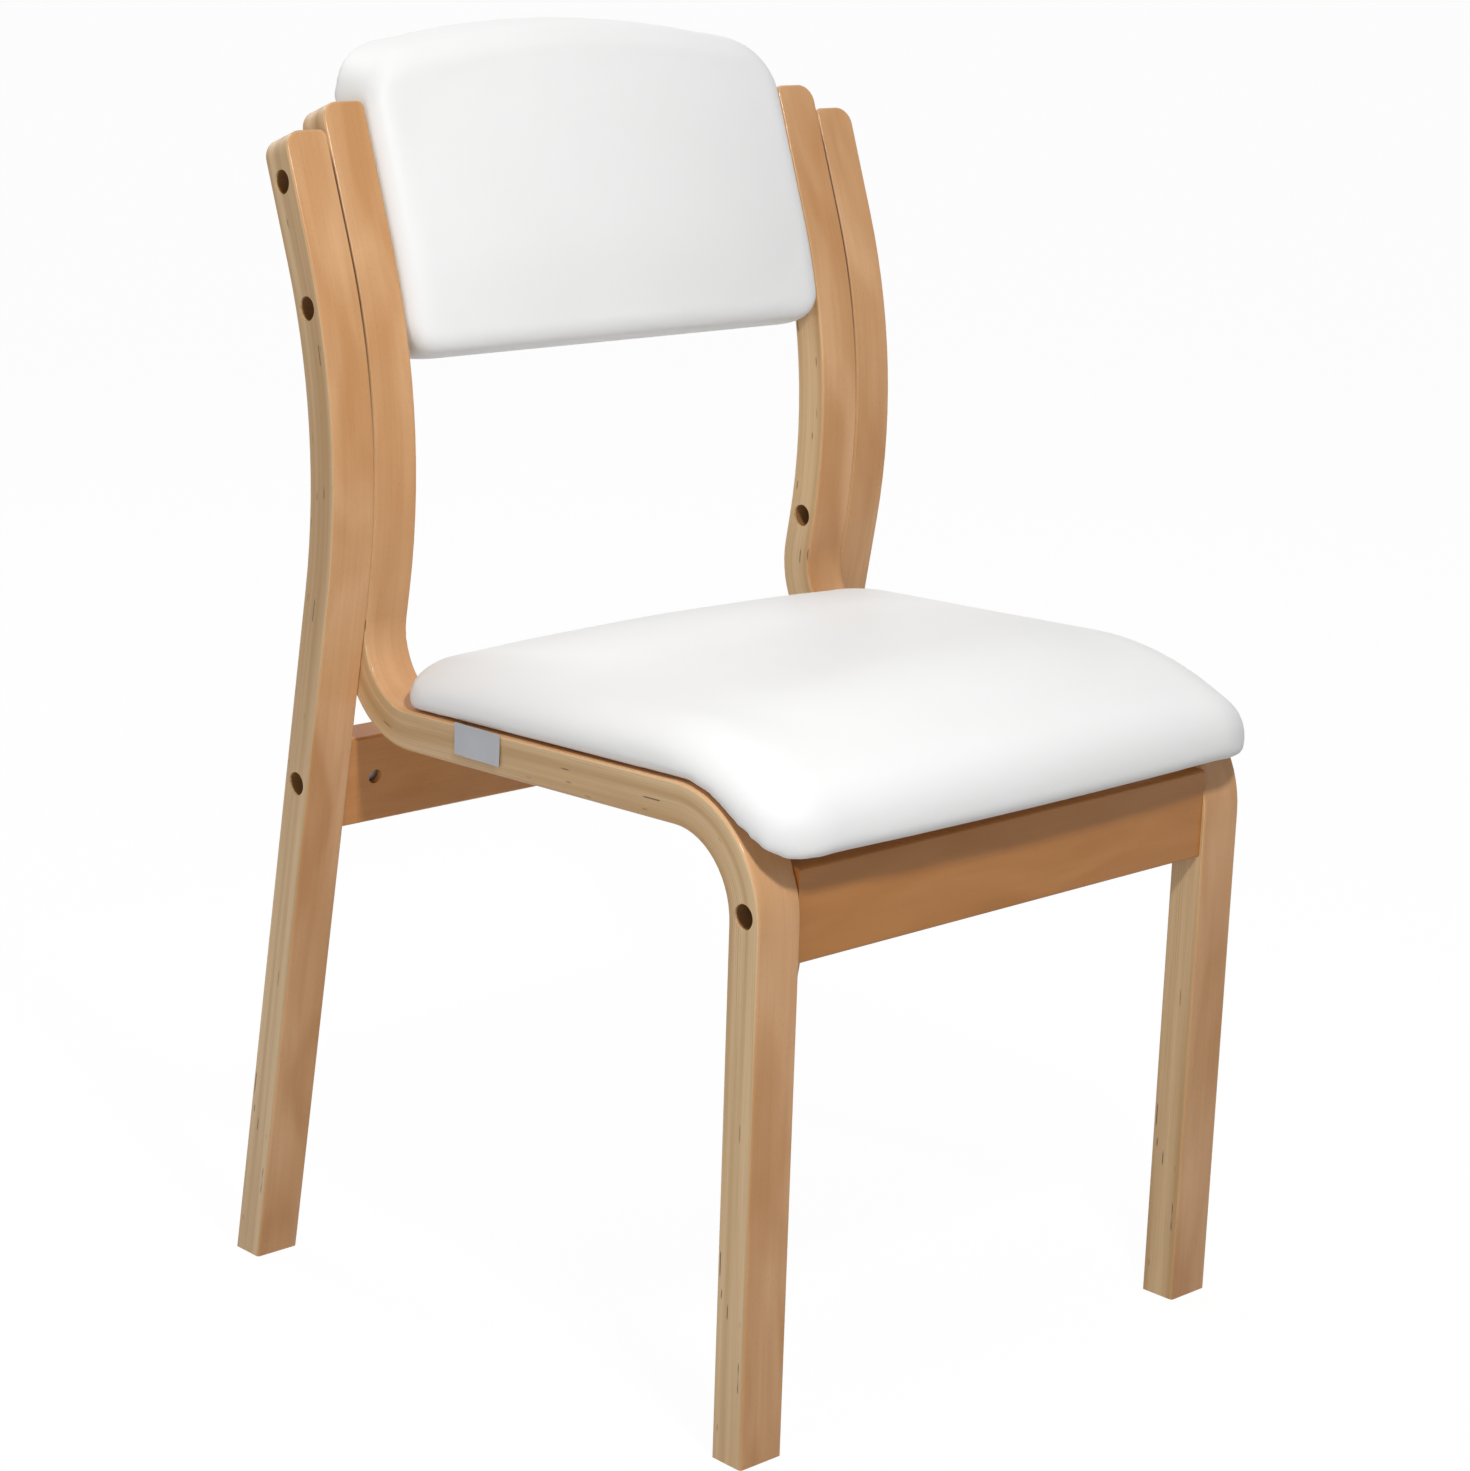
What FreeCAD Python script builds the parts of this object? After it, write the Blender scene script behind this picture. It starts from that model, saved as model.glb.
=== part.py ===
import FreeCAD, Part
import math
import os

import Sketcher
from FreeCAD import Placement, Rotation, Vector

# Waiting room chair: a frame of bent laminated beech planks with a vinyl seat pad and back pad.
# Millimetres. +Z is up, the chair faces -Y, and left and right are as seen from the front.
# The origin is on the floor, below the middle of the chair.

SIZES = {
    # whole chair: across the rear legs, from the seat's nose to the rear feet, and up to the rails' front
    "overall_width": 500,
    "overall_depth": 540,
    "seat_height": 425.8,
    # planks: widths along X, and the thickness that is bent
    "leg_width": 33,
    "frame_width": 34,
    "plank_thick": 27,
    "edge_round": 2,
    "top_round": 13,
    "top_inner_round": 5,
    # rear leg and back post
    "leg_splay": 12,
    "back_lean": 18.4,
    "waist_above_seat": 178.2,
    "waist_bend": 435,
    "leg_above_waist": 187,
    # upright, seat rail and front leg
    "frame_above_waist": 204,
    "nose_overhang": 37,
    "front_rake": 2,
    "rail_fall": 8.2,
    "knee_bend": 75.5,
    "hip_bend": 43,
    # cross rails, sunk a little below the faces of the legs
    "front_rail_high": 60,
    "front_rail_thick": 21,
    "front_rail_below": 34,
    "rear_rail_high": 65,
    "rear_rail_thick": 22,
    "rear_rail_below": 34,
    "rail_play": 0.1,
    # fastener heights on the planks' centre lines: below the seat height, below and above the waist
    "front_bolt_below": 71.8,
    "rear_bolt_below": 66.8,
    "tie_screw_below": 107,
    "back_bolt_low": 75,
    "back_bolt_high": 154,
    # bolts, nuts, washers, dowels
    "counterbore": 16,
    "counterbore_deep": 20,
    "bolt_hole": 7,
    "bolt_size": 6,
    "bolt_head": 10,
    "bolt_head_high": 6,
    "bolt_socket": 5,
    "bolt_past_nut": 9,
    "washer_size": 14,
    "washer_thick": 1.6,
    "nut_size": 10,
    "nut_from_end": 24,
    "nut_play": 0.3,
    "dowel_size": 8,
    "dowel_long": 29,
    "dowel_in_plank": 12,
    "dowel_from_bolt": 22,
    "dowel_play": 0.2,
    "dowel_end_gap": 0.5,
    "thread_play": 0.1,
    "hole_spare": 2,
    "nut_short": 9,
    "nut_hole_short": 4,
    "screw_size": 6,
    "tie_screw_long": 36,
    "screw_bore": 12,
    "screw_sunk": 8,
    # seat pad
    "seat_side_inset": 1,
    "seat_back_gap": 39.6,
    "seat_thick": 39.5,
    "seat_edge_thick": 34.5,
    "seat_side_round": 42,
    "seat_side_fall": 28,
    "seat_front_corner": 30,
    "seat_back_corner": 18,
    "seat_drop": 25.3,
    "seat_top_bend": 46,
    "seat_bow": 3,
    "seat_nose_below": 20,
    "seat_hem_rise": 0.5,
    "seat_board_thick": 12,
    "seat_board_rim": 7,
    "seat_play": 0.3,
    "cover_thick": 1.2,
    "foam_play": 0.3,
    "cover_tuck": 32,
    "cloth_thick": 0.8,
    "cloth_gap": 5,
    "seat_screw_front": 62,
    "seat_screw_back": 52,
    "tee_nut_flange": 17,
    "tee_nut_plate": 1.2,
    "tee_nut_barrel": 8,
    "tee_nut_long": 9,
    "tee_nut_sink": 1.5,
    # back pad, with heights above the waist and depths from the front face of the planks
    "back_side_gap": 1,
    "back_bottom": 37,
    "back_top": 253,
    "back_crown": 12.6,
    "back_top_corner": 45,
    "back_bottom_corner": 22,
    "back_proud": 17,
    "back_edge_proud": 10,
    "back_side_fall": 14,
    "back_deep": 37,
    "back_rear_fall": 1,
    "back_board_thick": 18,
    "back_board_inset": 6,
    "back_board_drop": 10,
    "back_panel_thick": 3,
    "back_panel_margin": 9,
    "panel_gap": 0.3,
    # bare woven tag at the left edge of the seat
    "tag_long": 47,
    "tag_high": 20,
    "tag_thick": 0.6,
    "tag_from_middle": 23,
}

doc = FreeCAD.newDocument("waiting_room_chair")
sheet = doc.addObject("Spreadsheet::Sheet", "Sizes")
for row, (alias, value) in enumerate(SIZES.items(), start=1):
    sheet.set(f"A{row}", alias)
    sheet.set(f"B{row}", str(value))
    sheet.setAlias(f"B{row}", alias)
doc.recompute()

# The objects that become nodes, in the order they are made.
nodes = []


def size(alias):
    return float(sheet.get(alias))


def keep(obj, label):
    obj.Label = label
    nodes.append(obj)
    return obj


def bind(obj, prop, expression):
    obj.setExpression(prop, expression)


# The side view: straight runs and bends of the front faces of the planks, as points (y, z).
thick = size("plank_thick")
splay = math.radians(size("leg_splay"))
lean = math.radians(size("back_lean"))
rake = math.radians(size("front_rake"))
half_depth = size("overall_depth") / 2
half_width = size("overall_width") / 2
frame_outer = half_width - size("leg_width")
frame_inner = frame_outer - size("frame_width")
waist_height = size("seat_height") + size("waist_above_seat")
hip_height = size("seat_height") - size("rail_fall")


def post_y(z):
    """Front face of the straight lower post, from the rear foot up."""
    return half_depth - thick / math.cos(splay) - z * math.tan(splay)


def leg_y(z):
    """Front face of the front leg."""
    return size("nose_overhang") - half_depth - z * math.tan(rake)


waist = Vector(post_y(waist_height), waist_height, 0)
knee = Vector(leg_y(size("seat_height")), size("seat_height"), 0)
hip = Vector(post_y(hip_height), hip_height, 0)
post_bottom = Vector(post_y(0), 0, 0)
leg_bottom = Vector(leg_y(0), 0, 0)
up_lean = Vector(math.sin(lean), math.cos(lean), 0)
back_of_lean = Vector(math.cos(lean), -math.sin(lean), 0)

# Centre of the large waist bend, and the point of the front face where the bend ends.
waist_tangent = size("waist_bend") * math.tan((splay + lean) / 2)
bend_end = waist + up_lean * waist_tangent
bend_start_height = waist_height - waist_tangent * math.cos(splay)
bend_start = Vector(post_y(bend_start_height), bend_start_height, 0)
bend_middle = bend_end + back_of_lean * size("waist_bend")


def up_the_lean(z):
    """Front face of the leaning run, at height z."""
    return waist + up_lean * ((z - waist.y) / up_lean.y)


def on_centre_line(z):
    """The point (y, z) of a post's centre line at height z, on the bend or on a straight run."""
    radius = size("waist_bend") - thick / 2
    low = bend_start + Vector(math.cos(splay), math.sin(splay), 0) * (thick / 2)
    high = bend_end + back_of_lean * (thick / 2)
    if z < low.y:
        return Vector(post_y(z) + thick / 2 / math.cos(splay), z, 0)
    if z > high.y:
        return high + up_lean * ((z - high.y) / up_lean.y)
    return Vector(bend_middle.x - math.sqrt(radius**2 - (z - bend_middle.y) ** 2), z, 0)


rail_slope = math.atan2(hip.y - knee.y, hip.x - knee.x)


def rail_top(y):
    return knee.y + (y - knee.x) * math.tan(rail_slope)


# Distances along the rails from the middle: where the knee bends end, the seat's back, the seat screws
knee_turn = math.pi / 2 - rail_slope + rake
knee_tangent = size("knee_bend") * math.tan(knee_turn / 2)
seat_bend_u = knee.x / math.cos(rail_slope) + knee_tangent
seat_back = hip.x - size("seat_back_gap")
seat_screw_u = [seat_bend_u + size("seat_screw_front"), seat_back - size("seat_screw_back")]


# Sketches, with each line of a closed outline joined to the next
def origin_plane(body, role):
    return next(feature for feature in body.Origin.OriginFeatures if feature.Role == role)


def new_sketch(body, name, role):
    sketch = body.newObject("Sketcher::SketchObject", name)
    sketch.AttachmentSupport = [(origin_plane(body, role), "")]
    sketch.MapMode = "FlatFace"
    return sketch


def outline(sketch, points):
    count = len(points)
    for i in range(count):
        sketch.addGeometry(Part.LineSegment(points[i], points[(i + 1) % count]))
    for i in range(count):
        sketch.addConstraint(Sketcher.Constraint("Coincident", i, 2, (i + 1) % count, 1))


def fix(sketch, expression, *constraint):
    number = sketch.addConstraint(Sketcher.Constraint(*constraint))
    if expression:
        bind(sketch, f"Constraints[{number}]", expression)


FLOOR, UPRIGHT, ORIGIN = -1, -2, (-1, 1)
START, END = 1, 2


def pad(body, sketch, length):
    feature = body.newObject("PartDesign::Pad", sketch.Name + "_pad")
    feature.Profile = sketch
    bind(feature, "Length", length)
    sketch.Visibility = False
    doc.recompute()
    return feature


def fillet(body, edges, radius):
    """Rounds the edges of the body's tip, given as their numbers."""
    base = body.Tip
    feature = body.newObject("PartDesign::Fillet", body.Name + "_round")
    feature.Base = (base, [f"Edge{number}" for number in edges])
    bind(feature, "Radius", radius)
    doc.recompute()
    return feature


def edges_where(shape, wanted):
    return [number for number, edge in enumerate(shape.Edges, start=1) if wanted(edge)]


def runs_along_x(y, z):
    """True for an edge along X through the side view's point (y, z)."""

    def wanted(edge):
        return all(abs(v.Y - y) < 0.01 and abs(v.Z - z) < 0.01 for v in edge.Vertexes)

    return wanted


def sharp_above_floor(shape):
    """Edges between faces that meet at an angle, apart from those of the foot's sole."""

    def wanted(edge):
        faces = shape.ancestorsOfType(edge, Part.Face)
        if len(faces) != 2 or edge.BoundBox.ZMax < 1:
            return False
        middle = edge.valueAt((edge.FirstParameter + edge.LastParameter) / 2)
        normals = [face.normalAt(*face.Surface.parameter(middle)) for face in faces]
        return abs(normals[0].dot(normals[1])) < 0.99

    return edges_where(shape, wanted)


def drill(body, name, role, centres, diameter, depth, start="0", backwards=False):
    """Cuts round holes from an origin plane moved to start; depth None goes right through."""
    before = body.Shape.Volume
    sketch = new_sketch(body, name, role)
    bind(sketch, "AttachmentOffset.Base.z", start)
    for i, centre in enumerate(centres):
        sketch.addGeometry(Part.Circle(centre, Vector(0, 0, 1), 1))
        sketch.addConstraint(Sketcher.Constraint("DistanceX", *ORIGIN, i, 3, centre.x))
        sketch.addConstraint(Sketcher.Constraint("DistanceY", *ORIGIN, i, 3, centre.y))
        fix(sketch, diameter, "Diameter", i, 2.0)
    pocket = body.newObject("PartDesign::Pocket", name + "_cut")
    pocket.Profile = sketch
    pocket.Reversed = not backwards
    if depth is None:
        pocket.Type = "ThroughAll"
    else:
        bind(pocket, "Length", depth)
    sketch.Visibility = False
    doc.recompute()
    if body.Shape.Volume > before - 1:
        raise ValueError(f"{name} cuts nothing")


# Centres of the holes in the side view
front_bolt_height = size("seat_height") - size("front_bolt_below")
front_bolt = Vector(leg_y(front_bolt_height) + thick / 2 / math.cos(rake), front_bolt_height, 0)
rear_bolt = on_centre_line(size("seat_height") - size("rear_bolt_below"))
tie_screw = on_centre_line(waist_height - size("tie_screw_below"))
back_bolts = [on_centre_line(waist_height + size(level)) for level in ("back_bolt_low", "back_bolt_high")]
front_dowel = front_bolt - Vector(-math.sin(rake), math.cos(rake), 0) * size("dowel_from_bolt")
rear_dowel = rear_bolt - Vector(-math.sin(splay), math.cos(splay), 0) * size("dowel_from_bolt")

# Sizes that several sketches share
BEHIND_WAIST = "Sizes.waist_bend - Sizes.plank_thick"
WAIST = "(Sizes.seat_height + Sizes.waist_above_seat)"
POST_AT_WAIST = (
    "Sizes.overall_depth / 2 - Sizes.plank_thick / cos(Sizes.leg_splay * 1 deg)"
    f" - {WAIST} * tan(Sizes.leg_splay * 1 deg)"
)
DOWEL_HOLE = "Sizes.dowel_size + Sizes.dowel_play"


def behind(front, along):
    """A point one plank's thickness behind a front face that runs along a direction."""
    return front + Vector(along.y, -along.x, 0) * thick


def corner_behind(before, corner, after):
    """The corner of the back faces, behind a corner of the front faces."""
    first = (corner - before).normalize()
    second = (after - corner).normalize()
    half_turn = first.getAngle(second) / 2
    middle = (first + second).normalize()
    return corner + Vector(middle.y, -middle.x, 0) * (thick / math.cos(half_turn))


def soften(body):
    fillet(body, sharp_above_floor(body.Shape), "Sizes.edge_round")


def round_bend(body, corner, radius):
    fillet(body, edges_where(body.Shape, runs_along_x(corner.x, corner.y)), radius)


def round_top(body, top, top_behind, width):
    """Rounds the corners of a plank's top, seen from the front: wide outside and narrow inside."""
    for x, radius in ((0, "Sizes.top_round"), (size(width), "Sizes.top_inner_round")):

        def wanted(edge):
            ends = [Vector(v.Y, v.Z, 0) for v in edge.Vertexes]
            off_top = max(min(end.distanceToPoint(top), end.distanceToPoint(top_behind)) for end in ends)
            return off_top < 0.01 and abs(edge.BoundBox.Center.x - x) < 0.01

        fillet(body, edges_where(body.Shape, wanted), radius)


def mirrored(body, label):
    other = doc.addObject("Part::Mirroring", label)
    other.Source = body
    other.Normal = Vector(1, 0, 0)
    doc.recompute()
    return keep(other, label)


# Rear legs: each outer plank is a splayed rear leg that bends at the waist into a leaning back post
leg = doc.addObject("PartDesign::Body", "rear_leg_left")
leg_tip = up_the_lean(waist_height + size("leg_above_waist"))
leg_points = [
    post_bottom,
    waist,
    leg_tip,
    behind(leg_tip, up_lean),
    corner_behind(post_bottom, waist, leg_tip),
    Vector(half_depth, 0, 0),
]
sketch = new_sketch(leg, "leg_side", "YZ_Plane")
outline(sketch, leg_points)
fix(sketch, None, "PointOnObject", 0, START, FLOOR)
fix(sketch, None, "PointOnObject", 5, START, FLOOR)
fix(sketch, "Sizes.overall_depth / 2", "DistanceX", *ORIGIN, 5, START, half_depth)
fix(sketch, "Sizes.leg_splay * 1 deg", "Angle", UPRIGHT, 0, splay)
fix(sketch, WAIST, "DistanceY", *ORIGIN, 0, END, waist.y)
fix(sketch, "-Sizes.back_lean * 1 deg", "Angle", UPRIGHT, 1, -lean)
fix(sketch, f"{WAIST} + Sizes.leg_above_waist", "DistanceY", *ORIGIN, 1, END, leg_tip.y)
fix(sketch, None, "Perpendicular", 1, 2)
for front_line, back_line in ((1, 3), (0, 4)):
    fix(sketch, None, "Parallel", front_line, back_line)
    fix(sketch, "Sizes.plank_thick", "Distance", front_line, START, back_line, thick)
pad(leg, sketch, "Sizes.leg_width")
round_bend(leg, leg_points[1], "Sizes.waist_bend")
round_bend(leg, leg_points[4], BEHIND_WAIST)
round_top(leg, leg_points[2], leg_points[3], "leg_width")
soften(leg)
leg_holes = [rear_bolt] + back_bolts
TIE_DEPTH = "Sizes.tie_screw_long - Sizes.frame_width + Sizes.counterbore_deep + Sizes.hole_spare"
drill(leg, "leg_counterbores", "YZ_Plane", leg_holes, "Sizes.counterbore", "Sizes.counterbore_deep")
drill(leg, "leg_bolt_holes", "YZ_Plane", leg_holes, "Sizes.bolt_hole", None)
drill(
    leg, "leg_dowel_hole", "YZ_Plane", [rear_dowel], DOWEL_HOLE,
    "Sizes.dowel_in_plank", "Sizes.leg_width", True,
)
drill(
    leg, "leg_tie_hole", "YZ_Plane", [tie_screw], "Sizes.screw_size + Sizes.dowel_play",
    TIE_DEPTH, "Sizes.leg_width", True,
)
bind(leg, "Placement.Base.x", "-Sizes.overall_width / 2")
doc.recompute()
keep(leg, "rear_leg_left")
mirrored(leg, "rear_leg_right")


# Side frames: each inner plank is an upright, a seat rail and a front leg in one length
frame = doc.addObject("PartDesign::Body", "side_frame_left")
frame_tip = up_the_lean(waist_height + size("frame_above_waist"))
fronts = [leg_bottom, knee, hip, waist, frame_tip]
backs = [behind(frame_tip, up_lean)]
for i in (3, 2, 1):
    backs.append(corner_behind(fronts[i - 1], fronts[i], fronts[i + 1]))
backs.append(Vector(leg_bottom.x + thick / math.cos(rake), 0, 0))
sketch = new_sketch(frame, "frame_side", "YZ_Plane")
outline(sketch, fronts + backs)
fix(sketch, None, "PointOnObject", 0, START, FLOOR)
fix(sketch, None, "PointOnObject", 9, START, FLOOR)
fix(sketch, "Sizes.overall_depth / 2 - Sizes.nose_overhang", "DistanceX", 0, START, *ORIGIN, -leg_bottom.x)
fix(sketch, "Sizes.front_rake * 1 deg", "Angle", UPRIGHT, 0, rake)
fix(sketch, "Sizes.seat_height", "DistanceY", *ORIGIN, 0, END, knee.y)
fix(sketch, "Sizes.seat_height - Sizes.rail_fall", "DistanceY", *ORIGIN, 1, END, hip.y)
fix(sketch, "Sizes.leg_splay * 1 deg", "Angle", UPRIGHT, 2, splay)
fix(sketch, WAIST, "DistanceY", *ORIGIN, 2, END, waist.y)
fix(sketch, POST_AT_WAIST, "DistanceX", *ORIGIN, 2, END, waist.x)
fix(sketch, "-Sizes.back_lean * 1 deg", "Angle", UPRIGHT, 3, -lean)
fix(sketch, f"{WAIST} + Sizes.frame_above_waist", "DistanceY", *ORIGIN, 3, END, frame_tip.y)
fix(sketch, None, "Perpendicular", 3, 4)
for front_line, back_line in ((3, 5), (2, 6), (1, 7), (0, 8)):
    fix(sketch, None, "Parallel", front_line, back_line)
    fix(sketch, "Sizes.plank_thick", "Distance", front_line, START, back_line, thick)
pad(frame, sketch, "Sizes.frame_width")
for corner, radius in (
    (fronts[1], "Sizes.knee_bend"),
    (backs[3], "Sizes.knee_bend - Sizes.plank_thick"),
    (fronts[2], "Sizes.hip_bend"),
    (backs[2], "Sizes.hip_bend + Sizes.plank_thick"),
    (fronts[3], "Sizes.waist_bend"),
    (backs[1], BEHIND_WAIST),
):
    round_bend(frame, corner, radius)
round_top(frame, fronts[4], backs[0], "frame_width")
soften(frame)
drill(frame, "knee_counterbore", "YZ_Plane", [front_bolt], "Sizes.counterbore", "Sizes.counterbore_deep")
drill(frame, "frame_bolt_holes", "YZ_Plane", [front_bolt] + back_bolts, "Sizes.bolt_hole", None)
drill(
    frame, "tie_counterbore", "YZ_Plane", [tie_screw], "Sizes.counterbore",
    "Sizes.counterbore_deep", "Sizes.frame_width", True,
)
drill(frame, "tie_hole", "YZ_Plane", [tie_screw], "Sizes.bolt_hole", None)
drill(
    frame, "knee_dowel_hole", "YZ_Plane", [front_dowel], DOWEL_HOLE,
    "Sizes.dowel_in_plank", "Sizes.frame_width", True,
)
halfway_down = thick / 2 * math.sin(rail_slope)
seat_holes = [
    Vector(size("frame_width") / 2, u * math.cos(rail_slope) + halfway_down, 0) for u in seat_screw_u
]
drill(frame, "seat_screw_holes", "XY_Plane", seat_holes, "Sizes.bolt_hole", None)
above_bore = thick / math.cos(rail_slope) - size("screw_sunk")
for centre, name in zip(seat_holes, ("front", "rear")):
    bore_top = rail_top(centre.y) - above_bore
    drill(frame, f"seat_screw_bore_{name}", "XY_Plane", [centre], "Sizes.screw_bore", f"{bore_top}")
bind(frame, "Placement.Base.x", "Sizes.leg_width - Sizes.overall_width / 2")
doc.recompute()
keep(frame, "side_frame_left")
mirrored(frame, "side_frame_right")


# Cross rails: straight beech bars between the legs, square to the legs' faces
def cross_rail(label, span, high, deep, below, bolt, tilt, nut_side):
    """A rail whose own origin is on the bolts' axis; nut_side -1 opens the nut holes to the front."""
    rail = doc.addObject("PartDesign::Body", label)
    section = new_sketch(rail, label + "_section", "YZ_Plane")
    front, top = -size(deep) / 2, size(high) - size(below)
    corners = [Vector(front, top - size(high), 0), Vector(-front, top - size(high), 0)]
    corners += [Vector(-front, top, 0), Vector(front, top, 0)]
    outline(section, corners)
    for side, way in enumerate(("Horizontal", "Vertical", "Horizontal", "Vertical")):
        fix(section, None, way, side)
    fix(section, f"Sizes.{deep}", "DistanceX", 0, START, 0, END, size(deep))
    fix(section, f"Sizes.{high}", "DistanceY", 1, START, 1, END, size(high))
    fix(section, f"Sizes.{deep} / 2", "DistanceX", 0, START, *ORIGIN, size(deep) / 2)
    fix(section, f"Sizes.{below}", "DistanceY", 0, START, *ORIGIN, size(below))
    bar = pad(rail, section, span)
    bar.Midplane = True
    doc.recompute()
    long_edges = []
    for corner in corners:
        long_edges += edges_where(rail.Shape, runs_along_x(corner.x, corner.y))
    fillet(rail, long_edges, "Sizes.edge_round")
    below_bolt = Vector(0, -size("dowel_from_bolt"), 0)
    for end, name in ((-1, "left"), (1, "right")):
        start = f"{end} * ({span}) / 2"
        drill(
            rail, f"{label}_bolt_{name}", "YZ_Plane", [Vector(0, 0, 0)], "Sizes.bolt_hole",
            "Sizes.nut_from_end + Sizes.bolt_past_nut + Sizes.hole_spare", start, end > 0,
        )
        drill(
            rail, f"{label}_dowel_{name}", "YZ_Plane", [below_bolt], DOWEL_HOLE,
            "Sizes.dowel_long - Sizes.dowel_in_plank + Sizes.hole_spare", start, end > 0,
        )
    half_span = rail.Shape.BoundBox.XMax
    nuts = [Vector(side * (half_span - size("nut_from_end")), 0, 0) for side in (-1, 1)]
    drill(
        rail, f"{label}_nut_holes", "XZ_Plane", nuts, "Sizes.nut_size + Sizes.nut_play",
        f"Sizes.{deep} - Sizes.nut_hole_short", f"{-nut_side} * Sizes.{deep} / 2", nut_side < 0,
    )
    rail.Placement = Placement(Vector(0, bolt.x, bolt.y), Rotation(Vector(1, 0, 0), math.degrees(tilt)))
    doc.recompute()
    return keep(rail, label)


FRONT_SPAN = "Sizes.overall_width - 2 * (Sizes.leg_width + Sizes.frame_width + Sizes.rail_play)"
REAR_SPAN = "Sizes.overall_width - 2 * (Sizes.leg_width + Sizes.rail_play)"
cross_rail(
    "front_rail", FRONT_SPAN, "front_rail_high", "front_rail_thick", "front_rail_below", front_bolt, rake, 1,
)
cross_rail(
    "rear_rail", REAR_SPAN, "rear_rail_high", "rear_rail_thick", "rear_rail_below", rear_bolt, splay, -1,
)

# Fasteners: each is built along its own +Z and laid along X, into the chair from the left or the right
SIDES = ((-1, "left"), (1, "right"))
THREAD = "Sizes.bolt_size + Sizes.thread_play"


def along_x(x, centre, towards):
    """Own +Z along X, towards +1 or -1, from the side view's point centre at x."""
    return Placement(Vector(x, centre.x, centre.y), Rotation(Vector(0, 1, 0), 90 * towards))


def moved(place, distance):
    return place * Placement(Vector(0, 0, distance), Rotation())


def cylinder(name, diameter, high, place):
    part = doc.addObject("Part::Cylinder", name)
    bind(part, "Radius", f"({diameter}) / 2")
    bind(part, "Height", high)
    part.Placement = place
    return part


def joined(name, first, second):
    part = doc.addObject("Part::Fuse", name)
    part.Base, part.Tool = first, second
    return part


def cut_away(name, base, tool):
    part = doc.addObject("Part::Cut", name)
    part.Base, part.Tool = base, tool
    return part


def group(label, parts):
    compound = doc.addObject("Part::Compound", label)
    compound.Links = parts
    doc.recompute()
    return keep(compound, label)


def socket_bolt(name, place, length):
    """A cap screw whose head rests at place, with a hexagon socket half as deep as the head."""
    top = moved(place, -size("bolt_head_high"))
    head = cylinder(name + "_head", "Sizes.bolt_head", "Sizes.bolt_head_high", top)
    shank = cylinder(name + "_shank", "Sizes.bolt_size", length, place)
    socket = doc.addObject("Part::Prism", name + "_socket")
    socket.Polygon = 6
    bind(socket, "Circumradius", "Sizes.bolt_socket / sqrt(3)")
    bind(socket, "Height", "Sizes.bolt_head_high / 2")
    socket.Placement = top
    return cut_away(name, joined(name + "_blank", head, shank), socket)


def washer(name, place):
    top = moved(place, -size("washer_thick"))
    disc = cylinder(name + "_disc", "Sizes.washer_size", "Sizes.washer_thick", top)
    bore = cylinder(name + "_bore", "Sizes.bolt_hole", "Sizes.washer_thick", top)
    return cut_away(name, disc, bore)


def barrel_nut(name, middle, tilt, board, bolt_place):
    """A cross dowel square to its board, threaded for the bolt that lies at bolt_place."""
    turn = Rotation(Vector(1, 0, 0), math.degrees(tilt) + 90)
    place = moved(Placement(middle, turn), (size("nut_short") - size(board)) / 2)
    barrel = cylinder(name + "_barrel", "Sizes.nut_size", f"Sizes.{board} - Sizes.nut_short", place)
    thread = cylinder(name + "_thread", THREAD, "Sizes.overall_width / 2", bolt_place)
    return cut_away(name, barrel, thread)


RAIL_BOLT = (
    "Sizes.washer_thick - Sizes.counterbore_deep + Sizes.rail_play + Sizes.nut_from_end + Sizes.bolt_past_nut"
)


def rail_fasteners(label, outer_face, plank, bolt, dowel, tilt, deep):
    """Bolts, washers, barrel nuts and dowels at both ends of a rail; returns the washers."""
    bolts, washers, nuts, dowels = [], [], [], []
    for side, name in SIDES:
        floor = along_x(side * (outer_face - size("counterbore_deep")), bolt, -side)
        inner_face = outer_face - size(plank)
        nut_x = inner_face - size("rail_play") - size("nut_from_end")
        washers.append(washer(f"{label}_washer_{name}", floor))
        bolt_place = moved(floor, -size("washer_thick"))
        bolts.append(socket_bolt(f"{label}_bolt_{name}_m6", bolt_place, f"{RAIL_BOLT} + Sizes.{plank}"))
        middle = Vector(side * nut_x, bolt.x, bolt.y)
        nuts.append(barrel_nut(f"{label}_nut_{name}", middle, tilt, deep, bolt_place))
        end = along_x(side * (inner_face + size("dowel_in_plank") - size("dowel_end_gap")), dowel, -side)
        dowels.append(cylinder(f"{label}_peg_{name}", "Sizes.dowel_size", "Sizes.dowel_long", end))
    group(f"{label}_bolts", bolts)
    group(f"{label}_nuts", nuts)
    group(f"{label}_dowels", dowels)
    return washers


washers = rail_fasteners(
    "front_rail", frame_outer, "frame_width", front_bolt, front_dowel, rake, "front_rail_thick"
)
washers += rail_fasteners(
    "rear_rail", half_width, "leg_width", rear_bolt, rear_dowel, splay, "rear_rail_thick"
)

# Tie screws: from inside each upright into the outer plank beside it
tie_screws = []
for side, name in SIDES:
    seat_of_head = along_x(side * (frame_inner + size("counterbore_deep")), tie_screw, side)
    tie_screws.append(socket_bolt(f"tie_screw_{name}", seat_of_head, "Sizes.tie_screw_long"))
group("frame_tie_screws", tie_screws)

# Back bolts: through both planks into barrel nuts in the back pad's board
back_half = frame_inner - size("back_side_gap")
board_edge = back_half - size("back_board_inset")
BACK_BOLT = (
    "Sizes.washer_thick - Sizes.counterbore_deep + Sizes.leg_width + Sizes.frame_width + Sizes.back_side_gap"
    " + Sizes.back_board_inset + Sizes.nut_from_end + Sizes.bolt_past_nut"
)


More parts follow.
